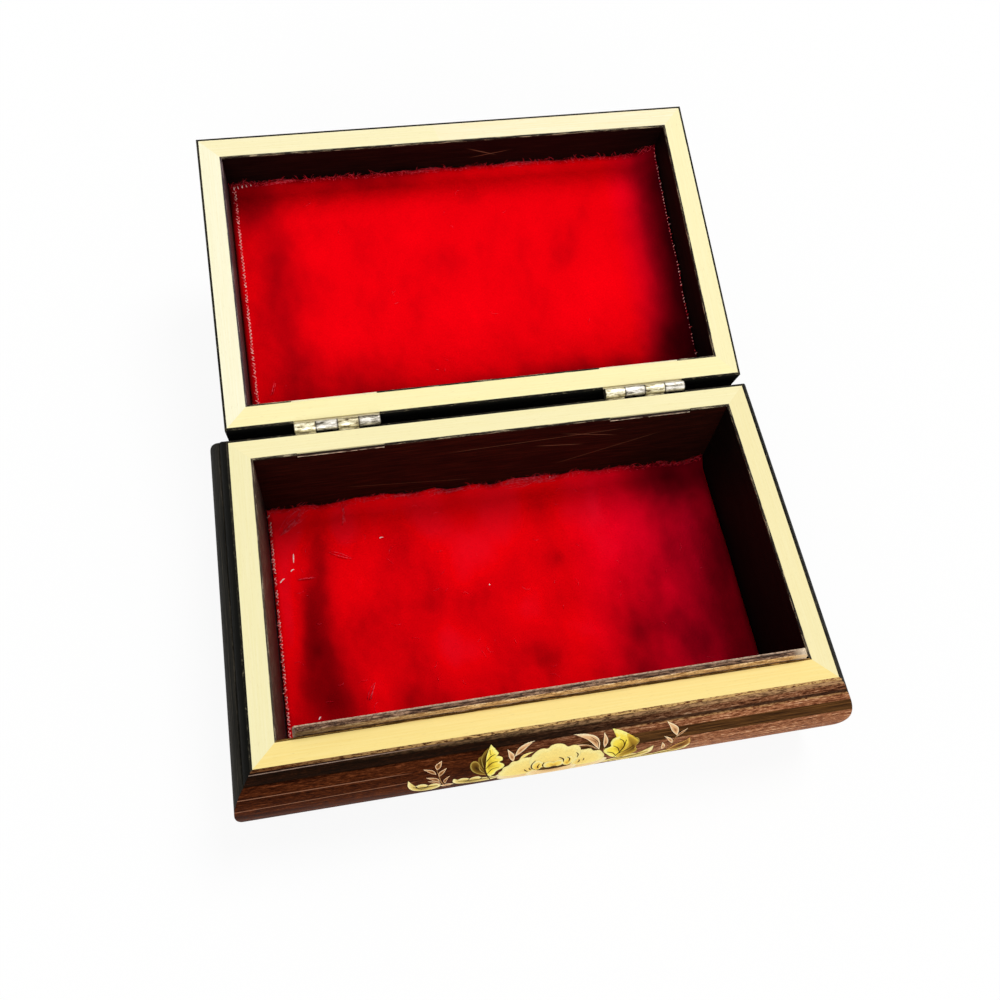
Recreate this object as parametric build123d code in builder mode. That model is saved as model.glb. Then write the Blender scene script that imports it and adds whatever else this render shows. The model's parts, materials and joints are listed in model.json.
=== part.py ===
from build123d import *
from math import acos, atan2, cos, degrees, hypot, radians, sin
import os

# A hinged keepsake box with bowed sides, in millimetres. x runs from left to right, y from front to
# back and z up. The origin is the middle of the underside. The lid is modelled lying open on its stop.

# rim of both halves, measured over the pale strips that face it
rim_length = 155.0  # left to right
rim_width = 94.0  # front to back
strip_width = 5.85
strip_thick = 0.6
margin = 0.7  # dark wood outside the strips
ledge = 0.6  # dark wood inside the strips
arris_ease = 0.25
scarf_x = -3.8  # the lid's front strip is made of two lengths
scarf_angle = 15.0

# moulding of the base, outward from the strips and down from the rim
base_height = 41.0
edge_height = 0.5  # straight edge above the cove
cove_out = 3.0
cove_deep = 4.8
cove_hollow = 0.4
quirk_step = 0.35  # flat between the cove and the bowed face
belly_out = 7.3
belly_height = 22.0  # of the widest line, above the underside
foot_out = 1.7
foot_ease = 1.5
bottom_thick = 6.0
bottom_rebate = 3.0  # how far the bottom board reaches into the walls
board_gap = 0.1  # glue line round the bottom board

# lid
lid_wall_height = 17.0
top_thick = 5.5
top_round = 4.2
top_quirk = 0.3  # small bevel that marks the joint of top and walls

# locating lip inside the front wall
lip_thick = 2.2
lip_proud = 3.0  # above the rim
lip_deep = 12.0  # below the rim
lip_set_back = 0.2  # of the proud part, so that the lid's front wall passes it
lip_left_gap = 4.0
lip_right_gap = 0.8
lip_ease = 0.6
lip_end_round = 2.2

# linings
lining_gap = 0.5
base_lining_thick = 1.5
lid_lining_thick = 1.4

# hinges
stop_gap = 0.3  # between the open lid and the bowed back that it leans on
rim_gap = 0.3  # between the two rims when the lid is closed
axis_out = 2.35  # of the pin, behind the strips
hinge_left_inset = 31.4  # from the strip's end to the middle of the hinge
hinge_right_inset = 30.7
hinge_length = 25.0
knuckle_count = 4
knuckle_play = 0.15
leaf_thick = 0.8
leaf_clear = 0.3  # between a leaf's edge and the other leaf's knuckles
notch_play = 0.1
pin_play = 0.05  # round the pin in the lid's knuckles
brad_count = 2
brad_pitch = 13.0
brad_length = 7.0
brad_radius = 0.5
brad_head_radius = 0.95
brad_head_thick = 0.4
brad_play = 0.05  # in the leaf's holes

inner_out = -(strip_width + ledge)  # inner face of the walls
cavity_length = rim_length + 2 * inner_out
cavity_width = rim_width + 2 * inner_out
belly_deep = base_height - belly_height
leaf_deep = strip_thick + leaf_thick  # underside of a leaf, which is its notch's floor
barrel_radius = leaf_deep + rim_gap / 2
pin_radius = barrel_radius - leaf_thick
knuckle_pitch = hinge_length / knuckle_count
saw_spare = belly_out + margin + strip_width  # each length is cut long, then mitred

# The lid opens until its back wall lies against the bowed back of the base. The upper part of the bow
# is an arc whose centre is level with the widest line.
shoulder_out = cove_out + quirk_step
bow_rise = belly_out - shoulder_out
bow_run = belly_deep - cove_deep
bow_radius = (bow_rise**2 + bow_run**2) / (2 * bow_rise)
pin_from_bow_out = axis_out - belly_out + bow_radius
pin_from_bow_up = belly_deep + rim_gap / 2
wall_from_bow = bow_radius + stop_gap - (axis_out - margin)
lean = atan2(pin_from_bow_up, pin_from_bow_out) - acos(
    wall_from_bow / hypot(pin_from_bow_out, pin_from_bow_up)
)
open_angle = 180 - degrees(lean)
print(f"the lid opens to {open_angle:.3f} degrees")

# Each half has a plane in its rim, with z up when the lid is closed, and a sign that says on which
# side of that plane the half lies.
swing = radians(open_angle)
lid_up = Vector(0, sin(swing), cos(swing))
lid_back = Vector(0, cos(swing), -sin(swing))
axis_point = Vector(0, rim_width / 2 + axis_out, base_height + rim_gap / 2)
base_rim = Plane(origin=(0, 0, base_height), x_dir=(1, 0, 0), z_dir=(0, 0, 1))
lid_rim = Plane(
    origin=axis_point - lid_back * (rim_width / 2 + axis_out) + lid_up * (rim_gap / 2),
    x_dir=(1, 0, 0),
    z_dir=lid_up,
)
halves = {"base": (base_rim, -1), "lid": (lid_rim, 1)}

# outward direction of each side, its distance from the middle and half its length
sides = {
    "front": (0, -1, rim_width / 2, rim_length / 2),
    "back": (0, 1, rim_width / 2, rim_length / 2),
    "left": (-1, 0, rim_length / 2, rim_width / 2),
    "right": (1, 0, rim_length / 2, rim_width / 2),
}
hinges = {"left": hinge_left_inset - rim_length / 2, "right": rim_length / 2 - hinge_right_inset}


def section_plane(half, side, along_x=0.0):
    # x points outward from the strip's edge, y away from the rim, into the half
    rim, into = halves[half]
    x, y, across, _ = sides[side]
    out = rim.x_dir * x + rim.y_dir * y
    origin = rim.origin + out * across + rim.x_dir * along_x
    return Plane(origin=origin, x_dir=out, z_dir=out.cross(rim.z_dir * into))


def run_and_mitre(half, side):
    # runs the pending section the length of one side and saws both ends to 45 degrees
    rim, _ = halves[half]
    x, y, across, run = sides[side]
    out = rim.x_dir * x + rim.y_dir * y
    along = out.cross(rim.z_dir)
    extrude(amount=run + saw_spare, both=True)
    for end in (-1, 1):
        corner = rim.origin + out * across + along * (end * run)
        split(bisect_by=Plane(origin=corner, z_dir=along * end - out), keep=Keep.BOTTOM)


def channel_points():
    # top of a wall, from its outer arris to its inner one, with the channel for the strip
    return [
        (margin, 0),
        (0, 0),
        (0, strip_thick),
        (-strip_width, strip_thick),
        (-strip_width, 0),
        (inner_out, 0),
    ]


def ease(outline, *spots, radius=arris_ease):
    for spot in spots:
        fillet(outline.vertices().sort_by_distance(spot)[0], radius)


def brad_spots(half, hinge_x):
    rim, into = halves[half]
    places = []
    for k in range(brad_count):
        x = hinge_x + (k - (brad_count - 1) / 2) * brad_pitch
        origin = rim.from_local_coords((x, (rim_width - strip_width) / 2, into * strip_thick))
        places.append(Plane(origin=origin, x_dir=rim.x_dir, z_dir=rim.z_dir * -into))
    return places


def hinge_notches(half):
    # lets the two leaves into the back wall under the strip, and bores for their brads
    for hinge_x in hinges.values():
        with BuildSketch(section_plane(half, "back", hinge_x)) as notch:
            with BuildLine():
                Polyline(
                    (inner_out - margin, 0),
                    (axis_out, 0),
                    (axis_out, leaf_deep),
                    (inner_out - margin, leaf_deep),
                    close=True,
                )
            make_face()
        extrude(notch.sketch, amount=hinge_length / 2 + notch_play, both=True, mode=Mode.SUBTRACT)
        with Locations(*brad_spots(half, hinge_x)):
            Hole(brad_radius, depth=brad_length)


os.makedirs("parts", exist_ok=True)

# Base walls: a cove, a quirk and a bowed face, all from one moulding, mitred at the corners.
for side in sides:
    with BuildPart() as base_wall:
        with BuildSketch(section_plane("base", side)) as outline:
            with BuildLine():
                Line((margin, 0), (margin, edge_height))
                SagittaArc((margin, edge_height), (cove_out, cove_deep), -cove_hollow)
                Line((cove_out, cove_deep), (shoulder_out, cove_deep))
                TangentArc((belly_out, belly_deep), (shoulder_out, cove_deep), tangent=(0, -1))
                TangentArc((belly_out, belly_deep), (foot_out, base_height), tangent=(0, 1))
                Polyline(
                    (foot_out, base_height),
                    (inner_out + bottom_rebate, base_height),
                    (inner_out + bottom_rebate, base_height - bottom_thick),
                    (inner_out, base_height - bottom_thick),
                    (inner_out, 0),
                )
                Polyline(*channel_points())
            make_face()
            ease(outline, (margin, 0), (inner_out, 0))
            ease(outline, (foot_out, base_height), radius=foot_ease)
        run_and_mitre("base", side)
        if side == "back":
            hinge_notches("base")
    base_wall.part.label = f"base_{side}_wall"
    export_step(base_wall.part, f"parts/base_{side}_wall.step")

# Bottom board, let into the rebate of the walls and flush with their underside.
with BuildPart() as base_bottom_board:
    with BuildSketch(Plane.XY):
        Rectangle(
            cavity_length + 2 * (bottom_rebate - board_gap),
            cavity_width + 2 * (bottom_rebate - board_gap),
        )
    extrude(amount=bottom_thick)
base_bottom_board.part.label = "base_bottom_board"
export_step(base_bottom_board.part, "parts/base_bottom_board.step")

# Locating lip: a thin strip glued inside the front wall, which stands up into the closed lid.
lip_face = rim_width / 2 + inner_out
lip_left = -cavity_length / 2 + lip_left_gap
lip_right = cavity_length / 2 - lip_right_gap
lip_middle = (lip_left + lip_right) / 2
with BuildPart() as locating_lip:
    with BuildSketch(section_plane("base", "front", lip_middle)) as outline:
        with BuildLine():
            Polyline(
                (inner_out, 0),
                (inner_out - lip_set_back, 0),
                (inner_out - lip_set_back, -lip_proud),
                (inner_out - lip_thick, -lip_proud),
                (inner_out - lip_thick, lip_deep),
                (inner_out, lip_deep),
                close=True,
            )
        make_face()
        ease(
            outline,
            (inner_out - lip_set_back, -lip_proud),
            (inner_out - lip_thick, -lip_proud),
            radius=lip_ease,
        )
    extrude(amount=(lip_right - lip_left) / 2, both=True)
    with BuildSketch(Plane(origin=(0, -lip_face, base_height), x_dir=(1, 0, 0), z_dir=(0, 1, 0))) as ends:
        with Locations((lip_middle, (lip_deep - lip_proud) / 2)):
            Rectangle(lip_right - lip_left, lip_deep + lip_proud)
        ease(ends, (lip_left, -lip_proud), (lip_right, -lip_proud), radius=lip_end_round)
    extrude(amount=lip_thick, mode=Mode.INTERSECT)
locating_lip.part.label = "locating_lip"
export_step(locating_lip.part, "parts/locating_lip.step")

# Lid walls: straight outside, with the same channel for the strips.
for side in sides:
    with BuildPart() as lid_wall:
        with BuildSketch(section_plane("lid", side)) as outline:
            with BuildLine():
                Polyline(
                    *channel_points(),
                    (inner_out, lid_wall_height),
                    (margin, lid_wall_height),
                    close=True,
                )
            make_face()
            ease(outline, (margin, 0), (inner_out, 0))
        run_and_mitre("lid", side)
        if side == "back":
            hinge_notches("lid")
    lid_wall.part.label = f"lid_{side}_wall"
    export_step(lid_wall.part, f"parts/lid_{side}_wall.step")

# Top board of the lid, glued on the walls, with a rounded edge all the way round.
with BuildPart() as lid_top_board:
    with BuildSketch(lid_rim.offset(lid_wall_height)):
        Rectangle(rim_length + 2 * margin, rim_width + 2 * margin)
    extrude(amount=top_thick)
    by_height = lid_top_board.edges().sort_by(lambda edge: lid_rim.to_local_coords(edge.center()).Z)
    fillet(by_height[-4:], top_round)
    chamfer(by_height[:4], top_quirk)
lid_top_board.part.label = "lid_top_board"
export_step(lid_top_board.part, "parts/lid_top_board.step")

# Pale strips let into the rim of each half, mitred at the corners.
for half in halves:
    rim = halves[half][0]
    for side in sides:
        with BuildPart() as rim_strip:
            with BuildSketch(section_plane(half, side)):
                with BuildLine():
                    Polyline(
                        (0, 0), (-strip_width, 0), (-strip_width, strip_thick), (0, strip_thick), close=True
                    )
                make_face()
            run_and_mitre(half, side)
        if (half, side) != ("lid", "front"):
            rim_strip.part.label = f"{half}_{side}_rim_strip"
            export_step(rim_strip.part, f"parts/{half}_{side}_rim_strip.step")
            continue
        # the lid's front strip is two lengths that meet at a slant
        joint = Plane(
            origin=rim.from_local_coords((scarf_x, -(rim_width - strip_width) / 2, 0)),
            z_dir=rim.x_dir * cos(radians(scarf_angle)) + rim.y_dir * -sin(radians(scarf_angle)),
        )
        for end, keep in (("left", Keep.BOTTOM), ("right", Keep.TOP)):
            with BuildPart() as strip_length:
                split(rim_strip.part, bisect_by=joint, keep=keep)
            strip_length.part.label = f"lid_front_{end}_rim_strip"
            export_step(strip_length.part, f"parts/lid_front_{end}_rim_strip.step")

# Hinge leaves: each is let in under the strip of its half and rolled round the pin at every other
# knuckle, the base's leaf at the first and third from the left, the lid's at the others.
leaf_edge = axis_out - barrel_radius - leaf_clear
axis_spot = (axis_out, -rim_gap / 2)
for half, first_knuckle, bore_radius in (("base", 0, pin_radius), ("lid", 1, pin_radius + pin_play)):
    for name, hinge_x in hinges.items():
        with BuildPart() as leaf:
            with BuildSketch(section_plane(half, "back", hinge_x)):
                with BuildLine():
                    Polyline(
                        (inner_out, strip_thick),
                        (leaf_edge, strip_thick),
                        (leaf_edge, leaf_deep),
                        (inner_out, leaf_deep),
                        close=True,
                    )
                make_face()
            extrude(amount=hinge_length / 2, both=True)
            for k in range(first_knuckle, knuckle_count, 2):
                knuckle_x = hinge_x + (k + 0.5) * knuckle_pitch - hinge_length / 2
                with BuildSketch(section_plane(half, "back", knuckle_x)):
                    with Locations(axis_spot):
                        Circle(barrel_radius)
                    with BuildLine():
                        Polyline(
                            (leaf_edge, strip_thick),
                            (axis_out, strip_thick),
                            (axis_out, leaf_deep),
                            (leaf_edge, leaf_deep),
                            close=True,
                        )
                    make_face()
                extrude(amount=(knuckle_pitch - knuckle_play) / 2, both=True)
            with BuildSketch(section_plane(half, "back", hinge_x)):
                with Locations(axis_spot):
                    Circle(bore_radius)
            extrude(amount=hinge_length, both=True, mode=Mode.SUBTRACT)
            with Locations(*brad_spots(half, hinge_x)):
                CounterBoreHole(
                    radius=brad_radius + brad_play,
                    counter_bore_radius=brad_head_radius + brad_play,
                    counter_bore_depth=brad_head_thick,
                    depth=2 * leaf_thick,
                )
        leaf.part.label = f"hinge_{name}_{half}_leaf"
        export_step(leaf.part, f"parts/hinge_{name}_{half}_leaf.step")

# Hinge pins, pressed into the base's knuckles and free in the lid's.
for name, hinge_x in hinges.items():
    with BuildPart() as hinge_pin:
        with BuildSketch(section_plane("base", "back", hinge_x)):
            with Locations(axis_spot):
                Circle(pin_radius)
        extrude(amount=(hinge_length - knuckle_play) / 2, both=True)
    hinge_pin.part.label = f"hinge_{name}_pin"
    export_step(hinge_pin.part, f"parts/hinge_{name}_pin.step")

# Brads that hold the leaves, their heads flush under the strips.
for half in halves:
    with BuildPart() as leaf_brads:
        for hinge_x in hinges.values():
            with Locations(*brad_spots(half, hinge_x)):
                Cylinder(brad_radius, brad_length, align=(Align.CENTER, Align.CENTER, Align.MAX))
                Cylinder(brad_head_radius, brad_head_thick, align=(Align.CENTER, Align.CENTER, Align.MAX))
    leaf_brads.part.label = f"{half}_leaf_brads"
    export_step(leaf_brads.part, f"parts/{half}_leaf_brads.step")

# Linings: the stretch of cloth laid in each half, clear of the walls.
for half, floor, thick in (
    ("base", Plane.XY.offset(bottom_thick), base_lining_thick),
    ("lid", lid_rim.offset(lid_wall_height), -lid_lining_thick),
):
    with BuildPart() as lining:
        with BuildSketch(floor):
            Rectangle(cavity_length - 2 * lining_gap, cavity_width - 2 * lining_gap)
        extrude(amount=thick)
    lining.part.label = f"{half}_lining"
    export_step(lining.part, f"parts/{half}_lining.step")
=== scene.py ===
import json
import random
from math import cos, exp, hypot, pi, radians, sin

import bmesh
import bpy
import numpy as np
from mathutils import Matrix, Vector, noise
from mathutils.bvhtree import BVHTree


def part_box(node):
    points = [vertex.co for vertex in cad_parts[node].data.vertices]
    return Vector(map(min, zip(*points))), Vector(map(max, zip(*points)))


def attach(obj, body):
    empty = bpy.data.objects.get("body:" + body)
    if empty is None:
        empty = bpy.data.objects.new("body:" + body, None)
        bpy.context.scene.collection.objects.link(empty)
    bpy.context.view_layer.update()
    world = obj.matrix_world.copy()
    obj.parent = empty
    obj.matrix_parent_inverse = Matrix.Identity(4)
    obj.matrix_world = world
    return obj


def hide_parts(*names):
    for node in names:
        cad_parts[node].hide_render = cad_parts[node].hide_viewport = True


# A painted wooden keepsake box, lying open. Settings are in millimetres unless a note says otherwise.
mm = 0.001

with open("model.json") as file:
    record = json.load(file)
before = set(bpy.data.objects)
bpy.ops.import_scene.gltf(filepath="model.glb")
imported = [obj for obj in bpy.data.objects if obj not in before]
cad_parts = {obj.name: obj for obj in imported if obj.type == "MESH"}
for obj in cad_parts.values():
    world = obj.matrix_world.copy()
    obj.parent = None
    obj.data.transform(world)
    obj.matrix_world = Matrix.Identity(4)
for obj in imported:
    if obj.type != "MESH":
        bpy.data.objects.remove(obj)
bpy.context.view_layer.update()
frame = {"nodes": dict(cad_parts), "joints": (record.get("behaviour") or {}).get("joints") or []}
nodes = frame["nodes"]
print("frame loaded:", len(nodes), "pieces")

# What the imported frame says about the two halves
lidHinge = frame["joints"][0]
pinLine = Vector(lidHinge["pos_m"])
openAngle = radians(lidHinge["range_deg"][1])
backStripLow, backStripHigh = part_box("base_back_rim_strip")
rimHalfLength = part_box("base_right_rim_strip")[1].x
rimHalfWidth = backStripHigh.y
rimHeight = backStripHigh.z
stripWidth = backStripHigh.y - backStripLow.y
lidUp = Vector((0, sin(openAngle), cos(openAngle)))
lidBack = Vector((0, cos(openAngle), -sin(openAngle)))
lidOrigin = pinLine - lidBack * pinLine.y + lidUp * (pinLine.z - rimHeight)

# Each half: middle of its rim, the way to its hinge side and the way into its wood
halfFrames = {
    "base": (Vector((0, 0, rimHeight)), Vector((0, 1, 0)), Vector((0, 0, -1))),
    "lid": (lidOrigin, lidBack, lidUp),
}
sideWays = {"front": (0, -1), "back": (0, 1), "left": (-1, 0), "right": (1, 0)}


def sideAxes(half, side):
    # along, outward and into the wood, and how far out the strips' edge lies
    _, back, into = halfFrames[half]
    right, hinge = sideWays[side]
    out = Vector((right, 0, 0)) + back * hinge
    return out.cross(into), out, into, rimHalfLength if right else rimHalfWidth


def deepest(name, half):
    # millimetres from the rim down to the far side of a piece
    origin, _, into = halfFrames[half]
    return max((v.co - origin).dot(into) for v in nodes[name].data.vertices) / mm


# Materials

def srgb(code):
    # sRGB hex to the linear colour that Blender's sockets take
    channels = [int(code[k:k + 2], 16) / 255 for k in (1, 3, 5)]
    return [c / 12.92 if c <= 0.04045 else ((c + 0.055) / 1.055) ** 2.4 for c in channels] + [1]


def addNode(tree, kind, inputs=(), stops=(), **settings):
    # a node with its settings, its sockets' links, values or colours, by name or in order, and a ramp's stops
    node = tree.nodes.new("ShaderNode" + kind)
    for name, value in settings.items():
        setattr(node, name, value)
    for name, value in inputs.items() if isinstance(inputs, dict) else enumerate(inputs):
        if isinstance(value, bpy.types.Node):
            value = value.outputs[0]
        if isinstance(value, bpy.types.NodeSocket):
            tree.links.new(value, node.inputs[name])
        else:
            node.inputs[name].default_value = srgb(value) if isinstance(value, str) else value
    for k, (place, code) in enumerate(stops):
        elements = node.color_ramp.elements
        stop = elements[k] if k < len(elements) else elements.new(place)
        stop.position = place
        stop.color = srgb(code)
    return node


def newMaterial(name, **values):
    # a Principled shader with the sockets that are the same all over
    material = bpy.data.materials.new(name)
    material.use_nodes = True
    sockets = material.node_tree.nodes["Principled BSDF"].inputs
    for socket, value in values.items():
        sockets[socket.replace("_", " ")].default_value = value
    return material, material.node_tree


def dress(material, colour, rough=None, relief=None):
    # joins the colour, the roughness and a relief (its pattern, strength and height) to the shader
    tree = material.node_tree
    sockets = tree.nodes["Principled BSDF"].inputs
    tree.links.new(colour.outputs[0], sockets["Base Color"])
    if rough is not None:
        tree.links.new(rough.outputs[0], sockets["Roughness"])
    if relief is not None:
        pattern, strength, height = relief
        bump = addNode(tree, "Bump", {"Height": pattern, "Strength": strength, "Distance": height * mm})
        tree.links.new(bump.outputs[0], sockets["Normal"])
    return material


def sideSpace(tree, half, side):
    # millimetres along a side, outward from the strips' edge and into the wood, together and one by one
    along, out, into, reach = sideAxes(half, side)
    turn = Matrix((along, out, into))
    place = turn @ halfFrames[half][0] + Vector((0, reach, 0))
    position = addNode(tree, "TexCoord").outputs["Object"]
    space = addNode(tree, "Mapping", {
        "Vector": position, "Location": -place / mm, "Rotation": turn.to_euler(), "Scale": (1 / mm,) * 3})
    return space, addNode(tree, "SeparateXYZ", (space,)).outputs


def lengthwise(tree, space, stretch, width, detail, roughness, distortion=0.0):
    # grain or streaks, this wide and drawn out along a side by the stretch, or even where that is 1
    way = addNode(tree, "VectorMath", (space, (stretch, 1, 1)), operation="MULTIPLY")
    return addNode(tree, "TexNoise", {
        "Vector": way, "Scale": 1 / width, "Detail": detail, "Roughness": roughness,
        "Distortion": distortion})


def band(tree, value, low, high, soft=0.2):
    # 1 between low and high, with soft ends
    rise = addNode(tree, "MapRange", (value, low - soft / 2, low + soft / 2), interpolation_type="SMOOTHSTEP")
    fall = addNode(tree, "MapRange", (value, high - soft / 2, high + soft / 2, 1.0, 0.0),
                   interpolation_type="SMOOTHSTEP")
    return addNode(tree, "Math", (rise, fall), operation="MULTIPLY")


def masked(tree, mask, pattern, *ramp):
    # a mask times a pattern, which the ramp takes from low, high to its strength at each
    strength = addNode(tree, "MapRange", (pattern, *ramp))
    return addNode(tree, "Math", (mask, strength), operation="MULTIPLY")


def slantedLine(tree, along, deep, start, end, width, soft):
    # 1 on the straight line between two places (along, deep)
    slope = (end[1] - start[1]) / (end[0] - start[0])
    level = addNode(tree, "Math", (along, -slope, slope * start[0] - start[1]), operation="MULTIPLY_ADD")
    level = addNode(tree, "Math", (level, deep), operation="ADD")
    return band(tree, level, -width / 2, width / 2, soft)


# Rosewood, planed and lacquered by hand: dark lengthwise figure, fine pale grain lines, arrises rubbed bare
rosewood = {
    # stretch, width, detail, roughness and distortion of what runs along the grain
    "figure": (0.045, 2.6, 6.0, 0.6, 0.6), "grain": (0.03, 0.42, 4.0, 0.65), "fleck": (0.26, 0.46, 4.0, 0.75),
    "grainShare": 0.58, "stops": (0.37, 0.46, 0.54, 0.64),
    "specular": 0.004, "roughness": (0.3, 0.7, 0.32, 0.6), "relief": (0.35, 0.08),
    "wearSoft": 0.04,
    # the cove's near-black band: how deep it lies, how thin it gets towards the right, and its patches
    "cove": (0.5, 4.72), "thinning": (0.12, 0.66), "patches": (0.42, 0.58, 0.7, 1.3),
    # the painted shade line in the quirk at the cove's foot: how far out it lies, how far down it runs on,
    # and how dark it is
    "quirkShadeLine": (2.55, 3.02), "quirkBelow": 0.1, "quirkShadeStrength": 0.85,
}
# near-black lacquer; its palest grey streaks are partly figure and partly a painted sheen
blackLacquer = {
    "grain": ("#0A0A09", "#1A1915", "#2A2721", "#565044"), "paint": "#141412", "worn": "#6E6750", "wear": 0.6,
    "rubbed": (200.0, 300.0), "fleck": 0.2, "quirkWear": 0.08,
}
woodLooks = {
    "front": {
        "grain": ("#140602", "#331306", "#542710", "#82482A"),
        # the front turns lighter and more golden towards the right: partly the wood's own tone, partly a
        # painted reflection
        "grainRightWithReflection": ("#220E06", "#6C3A22", "#B27650", "#FFD2A6"), "toneAndReflection": (-20.0, 45.0),
        "paint": "#120C07", "worn": "#C8A266", "wear": 0.48, "rubbed": (2.0, 66.0), "fleck": 0.5,
        "quirkWear": 0.4,
    },
    "back": blackLacquer, "left": blackLacquer, "right": blackLacquer,
}
# what only the base's front shows, by (along, deep)
frontMarks = {
    # a dark band of figure along the right of the bow: its depth, where it comes in, and its colours
    "streak": (7.1, 11.8), "streakFrom": (3.0, 7.0), "streakColours": ((0.38, "#28160A"), (0.66, "#6C4622")),
    # pale lines of figure and a scratch near the rim: from, to, width, soft edge, how far the right end
    # fades, strength, colour, and whether flecks break it up
    "lines": (
        ((-80, 8.5), (-38, 8.4), 0.28, 0.2, 8, 0.75, "#A8765A", False),
        ((-80, 13.7), (-36, 12.6), 0.28, 0.2, 8, 0.75, "#A8765A", False),
        ((-80, 0.98), (-24, 0.62), 0.16, 0.16, 20, 1.3, "#B89A88", True),
    ),
    # where wear comes in along the two arrises, and how strong it is at first
    "lowerFrom": (8.0, 32.0), "rimFrom": (-72.0, -16.0, 0.1, 1.0),
    # the cove's upper part is rubbed too: its depth and soft edge, where it comes in, its flecks and colour
    "cove": (0.3, 1.35, 0.8), "coveFrom": (-56.0, 50.0), "coveFlecks": (0.42, 0.56, 0.2),
    "coveWorn": "#B48C62",
}
# where an arris has rubbed bare, by depth below the rim
lidWallDeep = deepest("lid_front_wall", "lid")
wornArrises = {"base": ((-0.2, 0.42), (4.72, 5.0)), "lid": ((-0.2, 0.42), (lidWallDeep, lidWallDeep + 0.25))}


def markFront(tree, colour, along, deep, grain, fleck, rim, lower):
    # lays the front's own marks over its colour, and lets its arrises' wear come in along it
    streak = masked(tree, band(tree, deep, *frontMarks["streak"]), along, *frontMarks["streakFrom"])
    dark = addNode(tree, "ValToRGB", (grain,), stops=frontMarks["streakColours"])
    colour = addNode(tree, "MixRGB", (streak, colour, dark))
    for start, end, width, soft, fade, strength, code, broken in frontMarks["lines"]:
        line = slantedLine(tree, along, deep, start, end, width, soft)
        line = masked(tree, line, along, end[0] - fade, end[0], strength, 0.0)
        if broken:
            line = addNode(tree, "Math", (line, fleck), operation="MULTIPLY")
        colour = addNode(tree, "MixRGB", (line, colour, code))
    rubbed = masked(tree, band(tree, deep, *frontMarks["cove"]), along, *frontMarks["coveFrom"])
    rubbed = masked(tree, rubbed, fleck, *frontMarks["coveFlecks"])
    colour = addNode(tree, "MixRGB", (rubbed, colour, frontMarks["coveWorn"]))
    rim = masked(tree, rim, along, *frontMarks["rimFrom"])
    return colour, rim, masked(tree, lower, along, *frontMarks["lowerFrom"])


def lacquered(half, side):
    look = woodLooks[side if half == "base" else "back"]
    material, tree = newMaterial(f"lacquered_rosewood_{half}_{side}", Specular_IOR_Level=rosewood["specular"])
    space, (along, out, deep) = sideSpace(tree, half, side)
    figure, grain, fleck = (lengthwise(tree, space, *rosewood[name]) for name in ("figure", "grain", "fleck"))
    both = addNode(tree, "MixRGB", (rosewood["grainShare"], figure, grain))
    both = addNode(tree, "MixRGB", (look["fleck"], both, fleck))
    colour = addNode(tree, "ValToRGB", (both,), stops=zip(rosewood["stops"], look["grain"]))
    # a lighter, more golden ramp towards the right: partly the wood's tone, partly a painted reflection
    if "grainRightWithReflection" in look:
        pale = addNode(tree, "ValToRGB", (both,), stops=zip(rosewood["stops"], look["grainRightWithReflection"]))
        toneAndReflection = addNode(tree, "MapRange", (along, *look["toneAndReflection"]))
        colour = addNode(tree, "MixRGB", (toneAndReflection, colour, pale))

    # the cove gets a near-black band, which thins towards the right and in patches
    thin = addNode(tree, "MapRange", (along, *look["rubbed"], *rosewood["thinning"]))
    thin = masked(tree, thin, both, *rosewood["patches"])
    painted = band(tree, deep, *rosewood["cove"])
    painted = addNode(tree, "Math", (painted, thin), operation="SUBTRACT", use_clamp=True)
    # a painted shade line in the quirk at the cove's foot is laid over the band
    quirk = band(tree, out, *rosewood["quirkShadeLine"])
    above = addNode(tree, "Math", (deep, rosewood["cove"][1] + rosewood["quirkBelow"]), operation="LESS_THAN")
    quirk = addNode(tree, "Math", (quirk, above), operation="MULTIPLY")
    quirk = addNode(tree, "Math", (quirk, rosewood["quirkShadeStrength"]), operation="MULTIPLY")
    painted = addNode(tree, "Math", (painted, quirk), operation="MAXIMUM")
    colour = addNode(tree, "MixRGB", (painted, colour, look["paint"]))

    # bare wood where the arrises have rubbed through
    rim, lower = (band(tree, deep, *place) for place in wornArrises[half])
    if half == "base" and side == "front":
        colour, rim, lower = markFront(tree, colour, along, deep, grain, fleck, rim, lower)
    arris = addNode(tree, "Math", (lower, look["quirkWear"], rim), operation="MULTIPLY_ADD", use_clamp=True)
    soft = rosewood["wearSoft"]
    worn = masked(tree, arris, fleck, look["wear"] - soft, look["wear"] + soft)
    colour = addNode(tree, "MixRGB", (worn, colour, look["worn"]))
    rough = addNode(tree, "MapRange", (fleck, *rosewood["roughness"]))
    return dress(material, colour, rough, (both, *rosewood["relief"]))
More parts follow.
